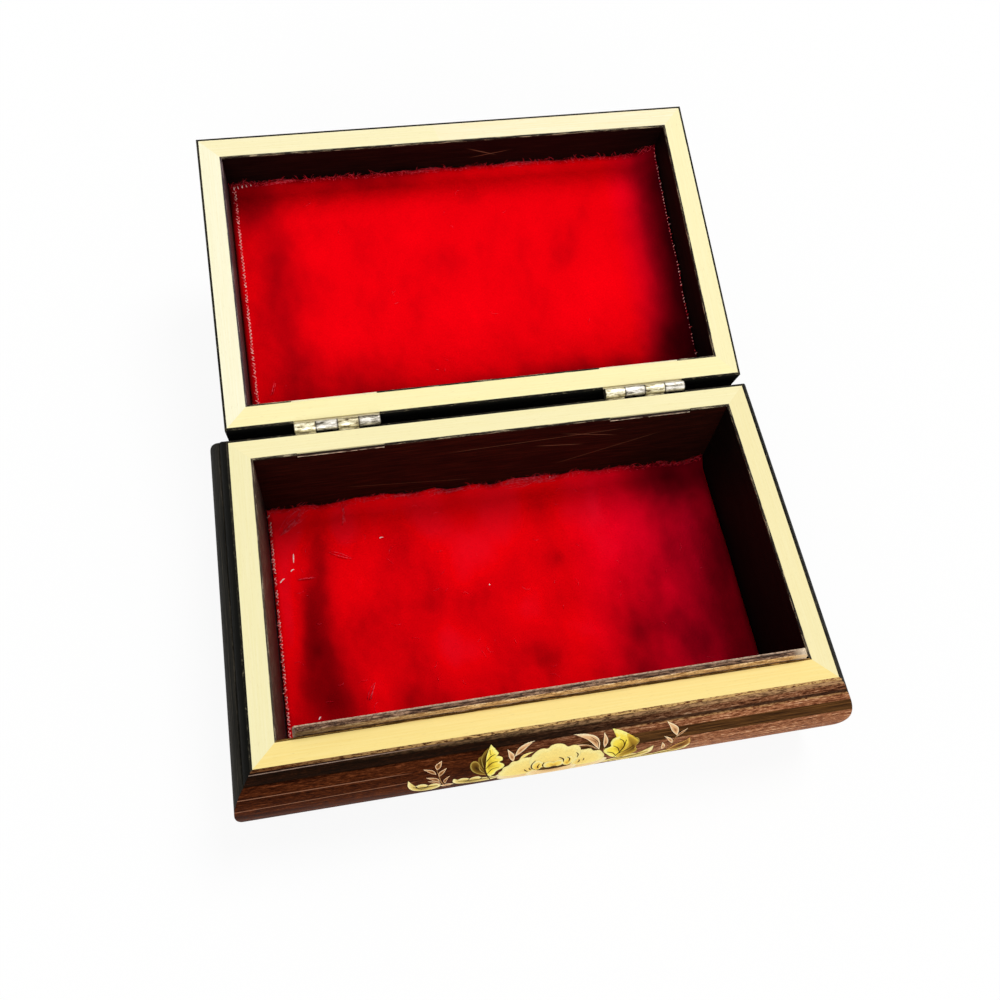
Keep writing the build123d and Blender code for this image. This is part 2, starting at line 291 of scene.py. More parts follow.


# The same wood inside, brushed with dark stain: satin, with fine scratches and a rough inner arris
# each side's tones: its stain, darkened with painted shade for how the light falls on it, darkest on the
# right sides
insideStainAndShade = {
    ("base", "back"): ("#0E0403", "#220B06", "#38150C"),
    ("base", "left"): ("#0A0908", "#191514", "#2E2826"),
    ("base", "right"): ("#050303", "#0B0605", "#160C09"),
    ("base", "front"): ("#080303", "#160806", "#24100C"),
    ("lid", "front"): ("#080303", "#130605", "#24100B"),
    ("lid", "left"): ("#100707", "#1E0E0C", "#341C18"),
    ("lid", "right"): ("#060303", "#0E0605", "#1C0C0A"),
    ("lid", "back"): ("#0C0404", "#1C0A08", "#30160F"),
}
inside = {
    "grain": (0.06, 0.7, 7.0, 0.65), "fleck": (0.06, 0.4, 4.0, 0.8), "stops": (0.32, 0.5, 0.7),
    "specular": 0.04, "roughness": (0.0, 1.0, 0.4, 0.65), "relief": (0.4, 0.08),
    # the rubbed edge: how deep it reaches, its colour and its flecks, which are where the pattern is highest
    "edge": (0.75, "#241E1A", "#B8A888"),
    "edges": {("base", "front"): (0.75, "#5A4018", "#C89C54"), ("base", "left"): (26.0, "#42362E", "#A4947E"),
              ("lid", "left"): (14.0, "#42363A", "#A08C88")},
    "edgeFull": 0.2, "edgeFlecks": (0.53, 0.6),
    # long scratches: where along the wall they start and end, how deep there, and how wide
    "scratches": {
        ("base", "back"): (((-50, 12), (-22, 23), 0.14), ((-38, 6.5), (12, 9.0), 0.14),
                           ((-36, 9.5), (-22, 6.0), 0.2), ((-26, 13.0), (-14, 11.4), 0.24),
                           ((8, 27), (44, 23), 0.1)),
        ("lid", "front"): (((-14, 8.2), (-8, 5.4), 0.35), ((-19, 7.2), (-9, 9.4), 0.2)),
    },
    "scratchFade": 6.0, "scratchStrength": 0.7, "scratchColour": "#94684E",
}


def stainedInside(half, side):
    material, tree = newMaterial(f"stained_wood_{half}_{side}", Specular_IOR_Level=inside["specular"])
    space, (along, _, deep) = sideSpace(tree, half, side)
    grain, fleck = (lengthwise(tree, space, *inside[name]) for name in ("grain", "fleck"))
    # this side's stain tones, with its painted shade
    colour = addNode(tree, "ValToRGB", (grain,), stops=zip(inside["stops"], insideStainAndShade[half, side]))
    for start, end, width in inside["scratches"].get((half, side), ()):
        line = slantedLine(tree, along, deep, start, end, width, width)
        reach = band(tree, along, start[0], end[0], inside["scratchFade"])
        line = addNode(tree, "Math", (line, reach), operation="MULTIPLY")
        line = addNode(tree, "Math", (line, inside["scratchStrength"]), operation="MULTIPLY")
        colour = addNode(tree, "MixRGB", (line, colour, inside["scratchColour"]))
    reach, rubbed, bare = inside["edges"].get((half, side), inside["edge"])
    rubbedEdge = addNode(tree, "MapRange", (deep, reach, inside["edgeFull"]))
    colour = addNode(tree, "MixRGB", (rubbedEdge, colour, rubbed))
    worn = masked(tree, rubbedEdge, fleck, *inside["edgeFlecks"])
    colour = addNode(tree, "MixRGB", (worn, colour, bare))
    rough = addNode(tree, "MapRange", (fleck, *inside["roughness"]))
    return dress(material, colour, rough, (grain, *inside["relief"]))


# Locating lip: the stain has worn off its front face and its back arris; the top is dark and grainy; the back
# arris and the right end also carry a painted highlight
lipLooks = {
    # stain in the grain from dark to light, what lies in the specks, and the worn arris, pale partly from
    # wear and partly as a painted highlight
    "top": ("#241610", "#604230", "#B08C70", "#241610", "#ECCCB0"),
    "front": ("#7A5026", "#E0B074", "#FFE2B0", "#7C5026", "#FFE8C0"),
    "grain": (0.1, 0.45, 5.0, 0.7), "stops": (0.38, 0.5, 0.64),
    "speck": (0.45, 0.4, 3.0, 0.8), "stained": (0.5, 0.58, 0.0, 0.8),
    "specular": 0.08, "roughness": (0.0, 1.0, 0.45, 0.75), "relief": (0.6, 0.12),
    # the back arris, worn pale and painted as a highlight, by how far out it lies, and the specks that break
    # it up
    "arris": (-7.95, -8.35), "arrisSpecks": (0.4, 0.56, 0.1, 0.85),
    # the front's stain has stayed darker at its left end
    "dark": ((-66.0, -16.0, 0.85, 0.0), "#33241A"),
    # the ends have rubbed pale, the right end also painted as a highlight: from, to, strength at each, and
    # colour
    "ends": (((-66.2, -66.9, 0.0, 1.6), "#8E7A6C"), ((65.6, 69.0, 0.0, 1.6), "#E8D2B4")),
}


def lipWood(face):
    dark, middle, light, edge, arrisPaleAndHighlight = lipLooks[face]
    material, tree = newMaterial(f"worn_lip_{face}", Specular_IOR_Level=lipLooks["specular"])
    space, (along, out, _) = sideSpace(tree, "base", "front")
    grain, speck = (lengthwise(tree, space, *lipLooks[name]) for name in ("grain", "speck"))
    colour = addNode(tree, "ValToRGB", (grain,), stops=zip(lipLooks["stops"], (dark, middle, light)))
    stained = addNode(tree, "MapRange", (speck, *lipLooks["stained"]))
    colour = addNode(tree, "MixRGB", (stained, colour, edge))
    arris = addNode(tree, "MapRange", (out, *lipLooks["arris"]))
    arris = masked(tree, arris, speck, *lipLooks["arrisSpecks"])
    colour = addNode(tree, "MixRGB", (arris, colour, arrisPaleAndHighlight))
    if face == "front":
        ramp, stain = lipLooks["dark"]
        colour = addNode(tree, "MixRGB", (addNode(tree, "MapRange", (along, *ramp)), colour, stain))
    for ramp, pale in lipLooks["ends"]:
        colour = addNode(tree, "MixRGB", (masked(tree, speck, along, *ramp), colour, pale))
    rough = addNode(tree, "MapRange", (speck, *lipLooks["roughness"]))
    return dress(material, colour, rough, (grain, *lipLooks["relief"]))


# Boxwood strips: cream, close and straight grained, under thin satin lacquer, each piece of its own tint
boxwoodLooks = {
    "grain": (0.02, 0.45, 5.0, 0.7), "pores": (0.12, 0.25, 2.0, 0.6), "dust": (0.62, 0.74, 0.0, 0.3),
    "dustColour": "#C8A868", "stops": (0.25, 0.75), "relief": (0.08, 0.03),
    "base_front": ("#F4D87E", "#FAE496"), "base_left": ("#EEE4A8", "#F6EEC2"),
    "base_right": ("#EFE0A2", "#F5EAB6"), "base_back": ("#F2E6AA", "#F9F0C0"),
    "lid_front": ("#F3E8B0", "#FAF1C8"), "lid_front_right": ("#F6E6AE", "#FDF4D4"),
    "lid_left": ("#F5EEC4", "#FCF8DC"), "lid_right": ("#F3E8AC", "#F9F0C0"),
    "lid_back": ("#F7EAA8", "#FCF2BC"),
}


def boxwood(half, side, end=""):
    name = f"{half}_{side}{end}"
    material, tree = newMaterial(
        f"boxwood_{name}", Specular_IOR_Level=0.2, Coat_Weight=0.06, Coat_Roughness=0.35, Roughness=0.55)
    space, _ = sideSpace(tree, half, side)
    grain, pores = (lengthwise(tree, space, *boxwoodLooks[kind]) for kind in ("grain", "pores"))
    colour = addNode(tree, "ValToRGB", (grain,), stops=zip(boxwoodLooks["stops"], boxwoodLooks[name]))
    dust = addNode(tree, "MapRange", (pores, *boxwoodLooks["dust"]))
    colour = addNode(tree, "MixRGB", (dust, colour, boxwoodLooks["dustColour"]))
    return dress(material, colour, relief=(grain, *boxwoodLooks["relief"]))


# Bottom board left bare: dry, pale brown, sawn and sanded
boardLooks = {
    "grain": (0.05, 1.4, 7.0, 0.65), "stops": ((0.35, "#6E5236"), (0.5, "#8E6E4A"), (0.66, "#A98960")),
    "relief": (0.5, 0.15),
}


def bareBoard():
    material, tree = newMaterial("bare_board", Specular_IOR_Level=0.15, Roughness=0.75)
    space, _ = sideSpace(tree, "base", "front")
    grain = lengthwise(tree, space, *boardLooks["grain"])
    colour = addNode(tree, "ValToRGB", (grain,), stops=boardLooks["stops"])
    return dress(material, colour, relief=(grain, *boardLooks["relief"]))


# Rolled steel, nickel plated: silvery, yellowed and blotched, with painted shade darkening the seams between
# knuckles
nickelLooks = {
    "streaks": (0.3, 0.9 * mm, 6.0, 0.7), "stops": (0.36, 0.43, 0.51, 0.6),
    "roughness": (0.35, 0.65, 0.6, 0.38), "relief": (0.5, 0.08),
    "base": ("#50442E", "#9C9070", "#CCC4A4", "#F0EAD4"), "lid": ("#3E382E", "#8A8478", "#BCB6AA", "#E4E0D8"),
    # a seam's painted shade: how far it reaches where the streaks are darkest and palest, its core, and its
    # strength
    "knuckles": 4, "seam": (0.35, 0.65, 0.5 * mm, 0.3 * mm), "seamCore": 0.06 * mm, "seamShade": 0.8,
    "seamShadeColour": "#2A2014",
}


def wornNickel(name, half):
    low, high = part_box(f"hinge_{name}_base_leaf")
    pitch = (high.x - low.x) / nickelLooks["knuckles"]
    material, tree = newMaterial(f"worn_nickel_{name}_{half}", Metallic=1.0)
    position = addNode(tree, "TexCoord").outputs["Object"]
    streaks = lengthwise(tree, position, *nickelLooks["streaks"])
    colour = addNode(tree, "ValToRGB", (streaks,), stops=zip(nickelLooks["stops"], nickelLooks[half]))
    across = addNode(tree, "SeparateXYZ", (position,)).outputs[0]
    fromSeam = addNode(tree, "Math", (across, low.x), operation="SUBTRACT")
    fromSeam = addNode(tree, "Math", (fromSeam, pitch / 2), operation="PINGPONG")
    # painted shade darkens the seams between the knuckles
    wave = addNode(tree, "MapRange", (streaks, *nickelLooks["seam"]))
    seamShade = addNode(tree, "MapRange", (fromSeam, nickelLooks["seamCore"], wave, nickelLooks["seamShade"], 0.0))
    colour = addNode(tree, "MixRGB", (seamShade, colour, nickelLooks["seamShadeColour"]))
    rough = addNode(tree, "MapRange", (streaks, *nickelLooks["roughness"]))
    return dress(material, colour, rough, (streaks, *nickelLooks["relief"]))


# The leaves' ends inside the box: the same plating under smeared stain, its lower arris scraped bright
leafEnds = {
    "smears": (0.25, 0.9, 5.0, 0.7), "stain": "#241611", "bare": "#FAEECC",
    # the scraped arris's depth and soft edge, and where the smears leave it bare
    "base": ((0.95, 1.5, 0.15), (0.4, 0.54)), "lid": ((-0.3, 1.0, 0.15), (0.2, 0.4)),
}


def leafEnd(half):
    arris, scraped = leafEnds[half]
    material, tree = newMaterial(f"scraped_leaf_end_{half}", Specular_IOR_Level=0.1, Roughness=0.5)
    space, (_, _, deep) = sideSpace(tree, half, "back")
    smears = lengthwise(tree, space, *leafEnds["smears"])
    bare = masked(tree, band(tree, deep, *arris), smears, *scraped)
    return dress(material, addNode(tree, "MixRGB", (bare, leafEnds["stain"], leafEnds["bare"])))


# Cotton plush: short cut pile, whose lie makes bright and dark clouds; the clouds also carry painted shade
# and painted highlights, and the cooler, darker red towards the right is painted shade
plushLooks = {
    "stops": (0.0, 0.3, 0.55, 0.78, 1.0), "coolShade": ("#40000A", "#8A0018", "#C80022", "#F4002E", "#FF1038"),
    "nap": (1.0, 0.45, 3.0, 0.7), "shade": (0.3, 0.7, 0.92, 1.06), "relief": (0.25, 0.2),
}


def redPlush(half, settings):
    material, tree = newMaterial(
        f"red_plush_{half}", Roughness=0.9, Sheen_Weight=settings["sheen"], Sheen_Roughness=0.4,
        Sheen_Tint=srgb("#FF0008"), Specular_IOR_Level=0.0)
    space, _ = sideSpace(tree, half, "back")
    lieAndShade, coolShade = (addNode(tree, "Attribute", attribute_name=name).outputs["Fac"] for name in ("lieAndShade", "coolShade"))
    warm, crimson = (addNode(tree, "ValToRGB", (lieAndShade,), stops=zip(plushLooks["stops"], codes))
                     for codes in (settings["colours"], plushLooks["coolShade"]))
    # the cooler, darker red towards the right is painted shade
    colour = addNode(tree, "MixRGB", (coolShade, warm, crimson))
    nap = lengthwise(tree, space, *plushLooks["nap"])
    shade = addNode(tree, "MapRange", (nap, *plushLooks["shade"]))
    colour = addNode(tree, "VectorMath", (colour, shade), operation="MULTIPLY")
    return dress(material, colour, relief=(nap, *plushLooks["relief"]))


# Loose cotton: fibres and cut thread ends, matt, a little darker where they twist away
def looseCotton(name, dark, light):
    material, tree = newMaterial(name, Roughness=0.95, Specular_IOR_Level=0.0)
    position = addNode(tree, "TexCoord").outputs["Object"]
    twist = lengthwise(tree, position, 1.0, 0.8 * mm, 2.0, 0.5)
    return dress(material, addNode(tree, "ValToRGB", (twist,), stops=((0.38, dark), (0.62, light))))


# Lacquer paint put on with a soft brush: satin, its colour and gloss a little uneven
paintLooks = {
    "streaks": (1.0, 0.5 * mm, 4.0, 0.7), "shade": (0.3, 0.7, 0.86, 1.06),
    "roughness": (0.0, 1.0, 0.35, 0.6), "relief": (0.2, 0.03),
}


def brushedPaint():
    material, tree = newMaterial("brushed_lacquer_paint", Specular_IOR_Level=0.006)
    tint = addNode(tree, "Attribute", attribute_name="paint").outputs["Color"]
    position = addNode(tree, "TexCoord").outputs["Object"]
    streaks = lengthwise(tree, position, *paintLooks["streaks"])
    shade = addNode(tree, "MapRange", (streaks, *paintLooks["shade"]))
    colour = addNode(tree, "VectorMath", (tint, shade), operation="MULTIPLY")
    rough = addNode(tree, "MapRange", (streaks, *paintLooks["roughness"]))
    return dress(material, colour, rough, (streaks, *paintLooks["relief"]))


nickel = {(name, half): wornNickel(name, half) for name in ("left", "right") for half in halfFrames}
paleThread = looseCotton("pale_cut_thread", "#FF3A44", "#FFBEB6")
paleLintThread = looseCotton("pale_lint", "#FFC8C0", "#FFF4F2")
redFibre = looseCotton("red_plush_fibre", "#FF1428", "#FF5464")
paint = brushedPaint()
print("materials made")


# CAD pieces: finish by side

def finishNode(name, *materials, choose=lambda centre, normal: 0):
    piece = nodes[name]
    piece.data.materials.clear()
    for material in materials:
        piece.data.materials.append(material)
    for face in piece.data.polygons:
        face.material_index = choose(face.center, face.normal)


def wallFaces(half, side):
    # 0 outside, 1 for the inner face and the ledge beside it
    _, out, _, reach = sideAxes(half, side)
    limit = reach - stripWidth
    return lambda centre, normal: int((centre - halfFrames[half][0]).dot(out) < limit)


def leafFaces(half):
    # 1 for the leaf's flat plate, whose end shows inside the box
    origin, back, _ = halfFrames[half]
    return lambda centre, normal: int((centre - origin).dot(back) < rimHalfWidth)


for half in halfFrames:
    for side in sideWays:
        finishNode(f"{half}_{side}_wall", lacquered(half, side), stainedInside(half, side),
                   choose=wallFaces(half, side))
        if (half, side) != ("lid", "front"):
            finishNode(f"{half}_{side}_rim_strip", boxwood(half, side))
finishNode("lid_front_left_rim_strip", boxwood("lid", "front"))
finishNode("lid_front_right_rim_strip", boxwood("lid", "front", "_right"))
finishNode("base_bottom_board", stainedInside("base", "front"), bareBoard(),
           choose=lambda centre, normal: int(normal.z < -0.9))
finishNode("lid_top_board", lacquered("lid", "back"), stainedInside("lid", "back"),
           choose=lambda centre, normal: int(normal.dot(lidUp) < -0.9))
finishNode("locating_lip", lipWood("top"), lipWood("front"), stainedInside("base", "front"),
           choose=lambda centre, normal: 1 if normal.y < -0.6 else 2 if normal.y > 0.9 else 0)
for (side, half), metal in nickel.items():
    finishNode(f"hinge_{side}_{half}_leaf", metal, leafEnd(half), choose=leafFaces(half))
for side in ("left", "right"):
    finishNode(f"hinge_{side}_pin", nickel[side, "lid"])
for half in halfFrames:
    finishNode(f"{half}_leaf_brads", nickel["left", half])
print("box finished")


# Linings: one cloth laid in each half, pinked at its two ends, its edges pushed up against the walls

# clouds: where the pile lies light or dark, and where shade from the walls and highlights are painted in, as
# (along, back, reach along, reach back, how much)
linings = {
    "base": {
        "floor": deepest("base_lining", "base"), "ends": (-71.0, 70.6), "sides": (-40.2, 40.3), "seed": 1,
        # how far in from its left and right end the threads lie; where the red turns cooler and darker as
        # painted shade
        "threads": (0.35, 0.0), "coolShade": (18.0, 62.0),
        # how high the cloth is pushed up a wall, and from how far away
        "backRise": (3.4, 5.0), "frontRise": (0.3, 4.0), "rightRise": (2.4, 9.0), "roughEdge": 1.3,
        # its red from dark to light, the level and spread of the clouds, and its sheen; the base's level is
        # set higher as painted light against the shade deep in the box
        "colours": ("#5A0005", "#A00009", "#E8000C", "#FF000C", "#FF081A"),
        "level": 0.65, "cloud": 0.14, "sheen": 0.55,
        "clouds": [
            (0, 42, 90, 11, 0.3), (-2, 28, 5, 8, 0.2), (22, 28, 4, 6, 0.16), (0, -33, 90, 7, -0.14),
            (-48, 33, 4, 7, 0.3), (-22, 28, 6, 6, 0.28), (-11, 17, 9, 8, 0.3), (3, 35, 5, 5, 0.16),
            (4, -3, 5, 5, 0.24), (32, 30, 3, 8, 0.28), (34, 14, 8, 6, 0.14), (-44, -20, 3, 8, 0.16),
            (-22, -10, 4, 8, 0.24), (-14, -12, 5, 5, 0.2), (17, -11, 9, 6, 0.16), (-50, 9, 6, 7, 0.14),
            (-67, 6, 3, 16, 0.24), (-66, 32, 5, 10, 0.34), (-57, 27, 5, 13, -0.36), (-59, 6, 5, 10, -0.42),
            (-58, -22, 6, 9, -0.52), (-60, -7, 5, 7, -0.4), (-27, 5, 6, 6, -0.2), (15, 35, 6, 6, -0.18),
            (18, 13, 5, 4, -0.16), (-42, 2, 5, 7, -0.1), (7, -17, 7, 6, -0.26), (50, 0, 12, 42, -0.2),
            (58, 38, 16, 9, -0.6), (54, -16, 8, 10, -0.14), (70, 0, 6, 60, -0.3), (38, -12, 8, 12, -0.14),
            (-34, -26, 10, 6, -0.16), (-66, -16, 4, 6, -0.14), (-42, -14, 5, 6, -0.08),
            (-67, -33, 7, 12, -0.24), (-53, -30, 5, 9, -0.2), (34, -24, 14, 16, -0.16), (24, -16, 6, 5, 0.1),
            (-68, 10, 3, 22, 0.16), (-29, 26, 5, 9, -0.16), (-32, -12, 5, 9, -0.12), (-46, 2, 6, 6, -0.1),
            (-13, 3, 6, 5, -0.14), (-44, 14, 4, 8, 0.12), (-60, 36, 6, 6, 0.16), (-49, 31, 5, 6, 0.14),
            (-33, 18, 6, 7, -0.16), (-24, 31, 6, 6, 0.12), (-20, 16, 5, 6, -0.06), (1, 27, 8, 8, 0.2),
            (28, 24, 6, 8, 0.14), (39, 22, 6, 9, 0.24), (33, -4, 5, 6, 0.05), (50, -7, 8, 9, 0.14),
            (47, 28, 5, 6, 0.1), (-54, -10, 5, 7, -0.12), (-21, -9, 4, 6, 0.14), (-2, -19, 6, 5, -0.08),
            (-42, -12, 5, 6, -0.08),
        ],
    },
    "lid": {
        "floor": deepest("lid_lining", "lid"), "ends": (-71.0, 70.6), "sides": (-40.2, 40.2), "seed": 2,
        "threads": (1.5, 0.35), "coolShade": (52.0, 72.0),
        "backRise": (0.4, 4.0), "frontRise": (2.2, 4.5), "rightRise": (5.2, 10.0), "roughEdge": 0.7,
        "colours": ("#5A0006", "#B0000B", "#F0000C", "#FF000E", "#FF081C"),
        "level": 0.56, "cloud": 0.09, "sheen": 0.3,
        "clouds": [
            (-15, -17, 5, 4, 0.14), (-10, -28, 7, 6, 0.12), (-45, -13, 4, 5, 0.08), (-43, 14, 8, 7, 0.1),
            (-2, 12, 9, 7, 0.16), (56, -27, 5, 5, 0.18), (28, -34, 6, 6, 0.12), (44, 8, 9, 10, 0.18),
            (33, 18, 7, 6, 0.14), (-3, 23, 7, 5, 0.1), (-58, 4, 7, 46, -0.18), (-60, 6, 9, 24, -0.06),
            (-66, -34, 8, 9, -0.3), (-29, -39, 16, 4, -0.14), (-5, -7, 5, 5, -0.08), (72, 0, 9, 60, -0.64),
            (62, 28, 8, 9, -0.3), (0, 40, 90, 6, -0.28), (35, -6, 5, 6, -0.08), (-46, 30, 16, 9, -0.14),
            (20, -40, 26, 6, 0.2), (-24, -38, 44, 5, -0.14), (40, 37, 30, 6, -0.22), (-30, 38, 10, 6, -0.12),
        ],
    },
}
# step of the mesh, and the pinked ends: length and depth of a tooth, and how wide the stitches swing
pinking = {"step": 0.5, "tooth": 1.15, "depth": 0.12, "stitch": 0.95}
pile = {
    # swells of the pile: how high and how wide; it thins to a share of its height at its edge
    "thick": 1.5, "swells": ((0.35, 15), (0.2, 2.8), (0.06, 0.8)), "edgeShare": 0.3, "edgeReach": 1.4,
    # how wide the raggedness is where it is pushed up a wall, and how it varies at the right end
    "ragged": 7, "rightRagged": (0.85, 0.35, 20), "backing": 0.3,
    # how it lies: the clouds' two sizes, the share of the fine ones, and how they are squashed across
    "cloudSizes": (7, 2.6), "fineShare": 0.4, "squash": 0.6,
    # painted shade: how much darker it is made against the walls and under the end's threads, and how far in
    "wallDark": 0.34, "wallReach": 0.9, "endReach": 0.4,
}


def halfPoint(half, right, back, deep):
    origin, hingeWay, into = halfFrames[half]
    return origin + (Vector((right, 0, 0)) + hingeWay * back + into * deep) * mm


def climb(distance, rise, reach):
    # how far the cloth is pushed up, this far from its edge
    return rise * max(0, 1 - distance / reach) ** 2


def pileHeight(settings, u, v):
    low, high = settings["ends"]
    front, back = settings["sides"]
    spot = Vector((u, v, settings["seed"] * 31.7))
    edge = min(u - low, high - u, v - front, back - v)
    height = pile["thick"]
    for rise, width in pile["swells"]:
        height += rise * noise.noise(spot / width)
    height *= pile["edgeShare"] + (1 - pile["edgeShare"]) * min(1, edge / pile["edgeReach"])
    ragged = 1 + settings["roughEdge"] * 0.5 * noise.noise(spot / pile["ragged"])
    height += climb(back - v, *settings["backRise"]) * ragged
    height += climb(v - front, *settings["frontRise"]) * ragged
    least, more, width = pile["rightRagged"]
    return height + climb(high - u, *settings["rightRise"]) * (least + more * noise.noise(spot / width))


def pileLieAndShade(settings, u, v):
    spot = Vector((u, v * pile["squash"], settings["seed"] * 11.3))
    coarse, fine = (noise.noise(spot / size) for size in pile["cloudSizes"])
    lieAndShade = settings["level"] + settings["cloud"] * (coarse + pile["fineShare"] * fine)
    # the clouds, with the walls' painted shade and painted highlights among them
    for x, y, along, across, amount in settings["clouds"]:
        lieAndShade += amount * exp(-((u - x) / along) ** 2 - ((v - y) / across) ** 2)
    # painted shade against the walls and under the end's threads
    toWall = min(v - settings["sides"][0], settings["sides"][1] - v)
    lieAndShade -= pile["wallDark"] * exp(-toWall / pile["wallReach"])
    fromEnd = (u - settings["ends"][0]) / max(pile["endReach"], settings["threads"][0])
    return min(1, max(0, lieAndShade - pile["wallDark"] * max(0, 1 - fromEnd)))


def newObject(name, data):
    made = bpy.data.objects.new(name, data)
    bpy.context.scene.collection.objects.link(made)
    return made


def meshObject(name, mesh, material):
    data = bpy.data.meshes.new(name)
    mesh.to_mesh(data)
    mesh.free()
    data.materials.append(material)
    return newObject(name, data)


def newPiece(name, mesh, half, material):
    piece = meshObject(name, mesh, material)
    piece.data.shade_smooth()
    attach(piece, half)
    return piece


def toothShift(v):
    return pinking["depth"] * abs((v / pinking["tooth"]) % 1 - 0.5) * 2


def layCloth(half, settings):
    low, high = settings["ends"]
    front, back = settings["sides"]
    across = round((high - low) / pinking["step"])
    down = round((back - front) / pinking["step"])
    mesh = bmesh.new()
    lieAndShadeLayer, coolShadeLayer = (mesh.verts.layers.float.new(name) for name in ("lieAndShade", "coolShade"))
    rows = []
    for j in range(down + 1):
        v = front + (back - front) * j / down
        row = []
        for i in range(across + 1):
            u = low + (high - low) * i / across
            height = pileHeight(settings, u, v)
            shift = toothShift(v) if i == 0 else -toothShift(v) if i == across else 0
            vert = mesh.verts.new(halfPoint(half, u + shift, v, settings["floor"] - height))
            vert[lieAndShadeLayer] = pileLieAndShade(settings, u, v)
            vert[coolShadeLayer] = np.interp(u, settings["coolShade"], (0, 1))
            row.append(vert)
        rows.append(row)
    for near, far in zip(rows, rows[1:]):
        for i in range(across):
            mesh.faces.new((near[i], near[i + 1], far[i + 1], far[i]))
    piece = newPiece(f"{half}_plush_lining", mesh, half, redPlush(half, settings))
    backing = piece.modifiers.new("backing", "SOLIDIFY")
    backing.thickness = pile["backing"] * mm
    backing.offset = -1 if half == "base" else 1
    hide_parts(f"{half}_lining")
    return piece


# Pale overcast threads show along the ends, and fibres stand out of the far edge and the pile
looseBits = {
    # radii, and a share of them at the ends; how flat a thread is pressed; the share of stitches that are
    # missing, and of those that have frayed
    "thread": 0.24, "fibre": 0.034, "wisp": 0.085, "lintThread": 0.17,
    "endShare": 0.35, "pressed": 0.4, "gap": 0.14, "fray": 0.4,
    # stitches: how far they waver, their lift and how it varies, how thick, and how far a frayed end reaches
    "waver": 0.06, "lift": (0.14, 0.1), "stitch": (0.6, 1.25), "dash": 1.1,
    "frayReach": ((0.1, 0.6), (-0.3, 0.3), (0.1, 0.5)),
    # fibres at the edge: how near the wall, short ones and long ones, their lean, and how thick
    "nearWall": (0.05, 1.6), "short": (0.5, 1.5), "long": (1.5, 3.0), "shortShare": 0.85,
    "lean": (-0.6, 0.5), "thick": (0.8, 1.9),
    # fibres on the pile: how far they curl and how long they are
    "curl": (-1.4, 1.4), "pileLong": (1.0, 3.6),
    "edgeFibres": {"base": 1100, "lid": 800}, "pileFibres": {"base": 60, "lid": 16},
    # wisps: from here to there, how far they spread, how many fibres
    "wisps": {
        "base": (((-67.4, 32.4), (-59.1, 39.8), 2.0, 9), ((-66.4, 34.4), (-61.0, 36.4), 1.6, 4),
                 ((-63.7, 16.6), (-58.3, 16.5), 0.6, 3), ((-44.6, -19.0), (-47.2, -24.0), 0.7, 4),
                 ((-47.7, 33.5), (-47.5, 39.6), 1.0, 6), ((-31.5, 39.4), (-26.0, 39.9), 0.8, 8),
                 ((4.0, 39.0), (16.0, 39.8), 1.1, 14), ((-53.0, 24.0), (-47.0, 21.5), 1.2, 3),
                 ((14.0, 38.6), (22.0, 39.8), 1.0, 7), ((-20.0, 39.4), (-8.0, 39.8), 1.0, 6)),
        "lid": (((-64.6, 32.6), (-63.3, 28.6), 0.5, 3), ((-60.0, -39.0), (-50.0, -39.6), 1.0, 7),
                ((-14.0, -39.4), (-2.0, -39.8), 0.9, 5), ((18.0, -39.4), (30.0, -39.8), 0.9, 5)),
    },
    # lint: place, length and turn
    "lint": {
        "base": ((-36.9, 27.0, 1.3, 5), (-64.2, 23.8, 3.0, 86), (-64.9, 19.8, 1.3, 30),
                 (-68.1, 16.9, 1.9, 40), (-61.3, -27.0, 1.0, 45), (-6.2, 6.5, 0.5, 0), (19.2, 39.6, 0.9, 60)),
        "lid": ((-69.2, -38.6, 1.2, 80), (-67.9, -38.8, 1.0, 70), (-66.6, -38.9, 0.9, 100),
                (-65.2, -39.0, 0.8, 60), (-63.8, -39.2, 0.5, 80)),
    },
}


def strandTube(mesh, points, radius, sides=4, flat=1.0):
    # a thread through the points, thinner at both ends, pressed flat or round
    rings = []
    for k, point in enumerate(points):
        way = (points[min(k + 1, len(points) - 1)] - points[max(k - 1, 0)]).normalized()
        side = way.cross(Vector((0.3, 0.2, 1))).normalized()
        other = way.cross(side) * flat
        wide = radius * mm * (looseBits["endShare"] if k in (0, len(points) - 1) else 1)
        rings.append([mesh.verts.new(point + (side * cos(turn) + other * sin(turn)) * wide)
                      for turn in (2 * pi * s / sides for s in range(sides))])
    for a, b in zip(rings, rings[1:]):
        for s in range(sides):
            mesh.faces.new((a[s], a[(s + 1) % sides], b[(s + 1) % sides], b[s]))
    mesh.faces.new(rings[0][::-1])
    mesh.faces.new(rings[-1])


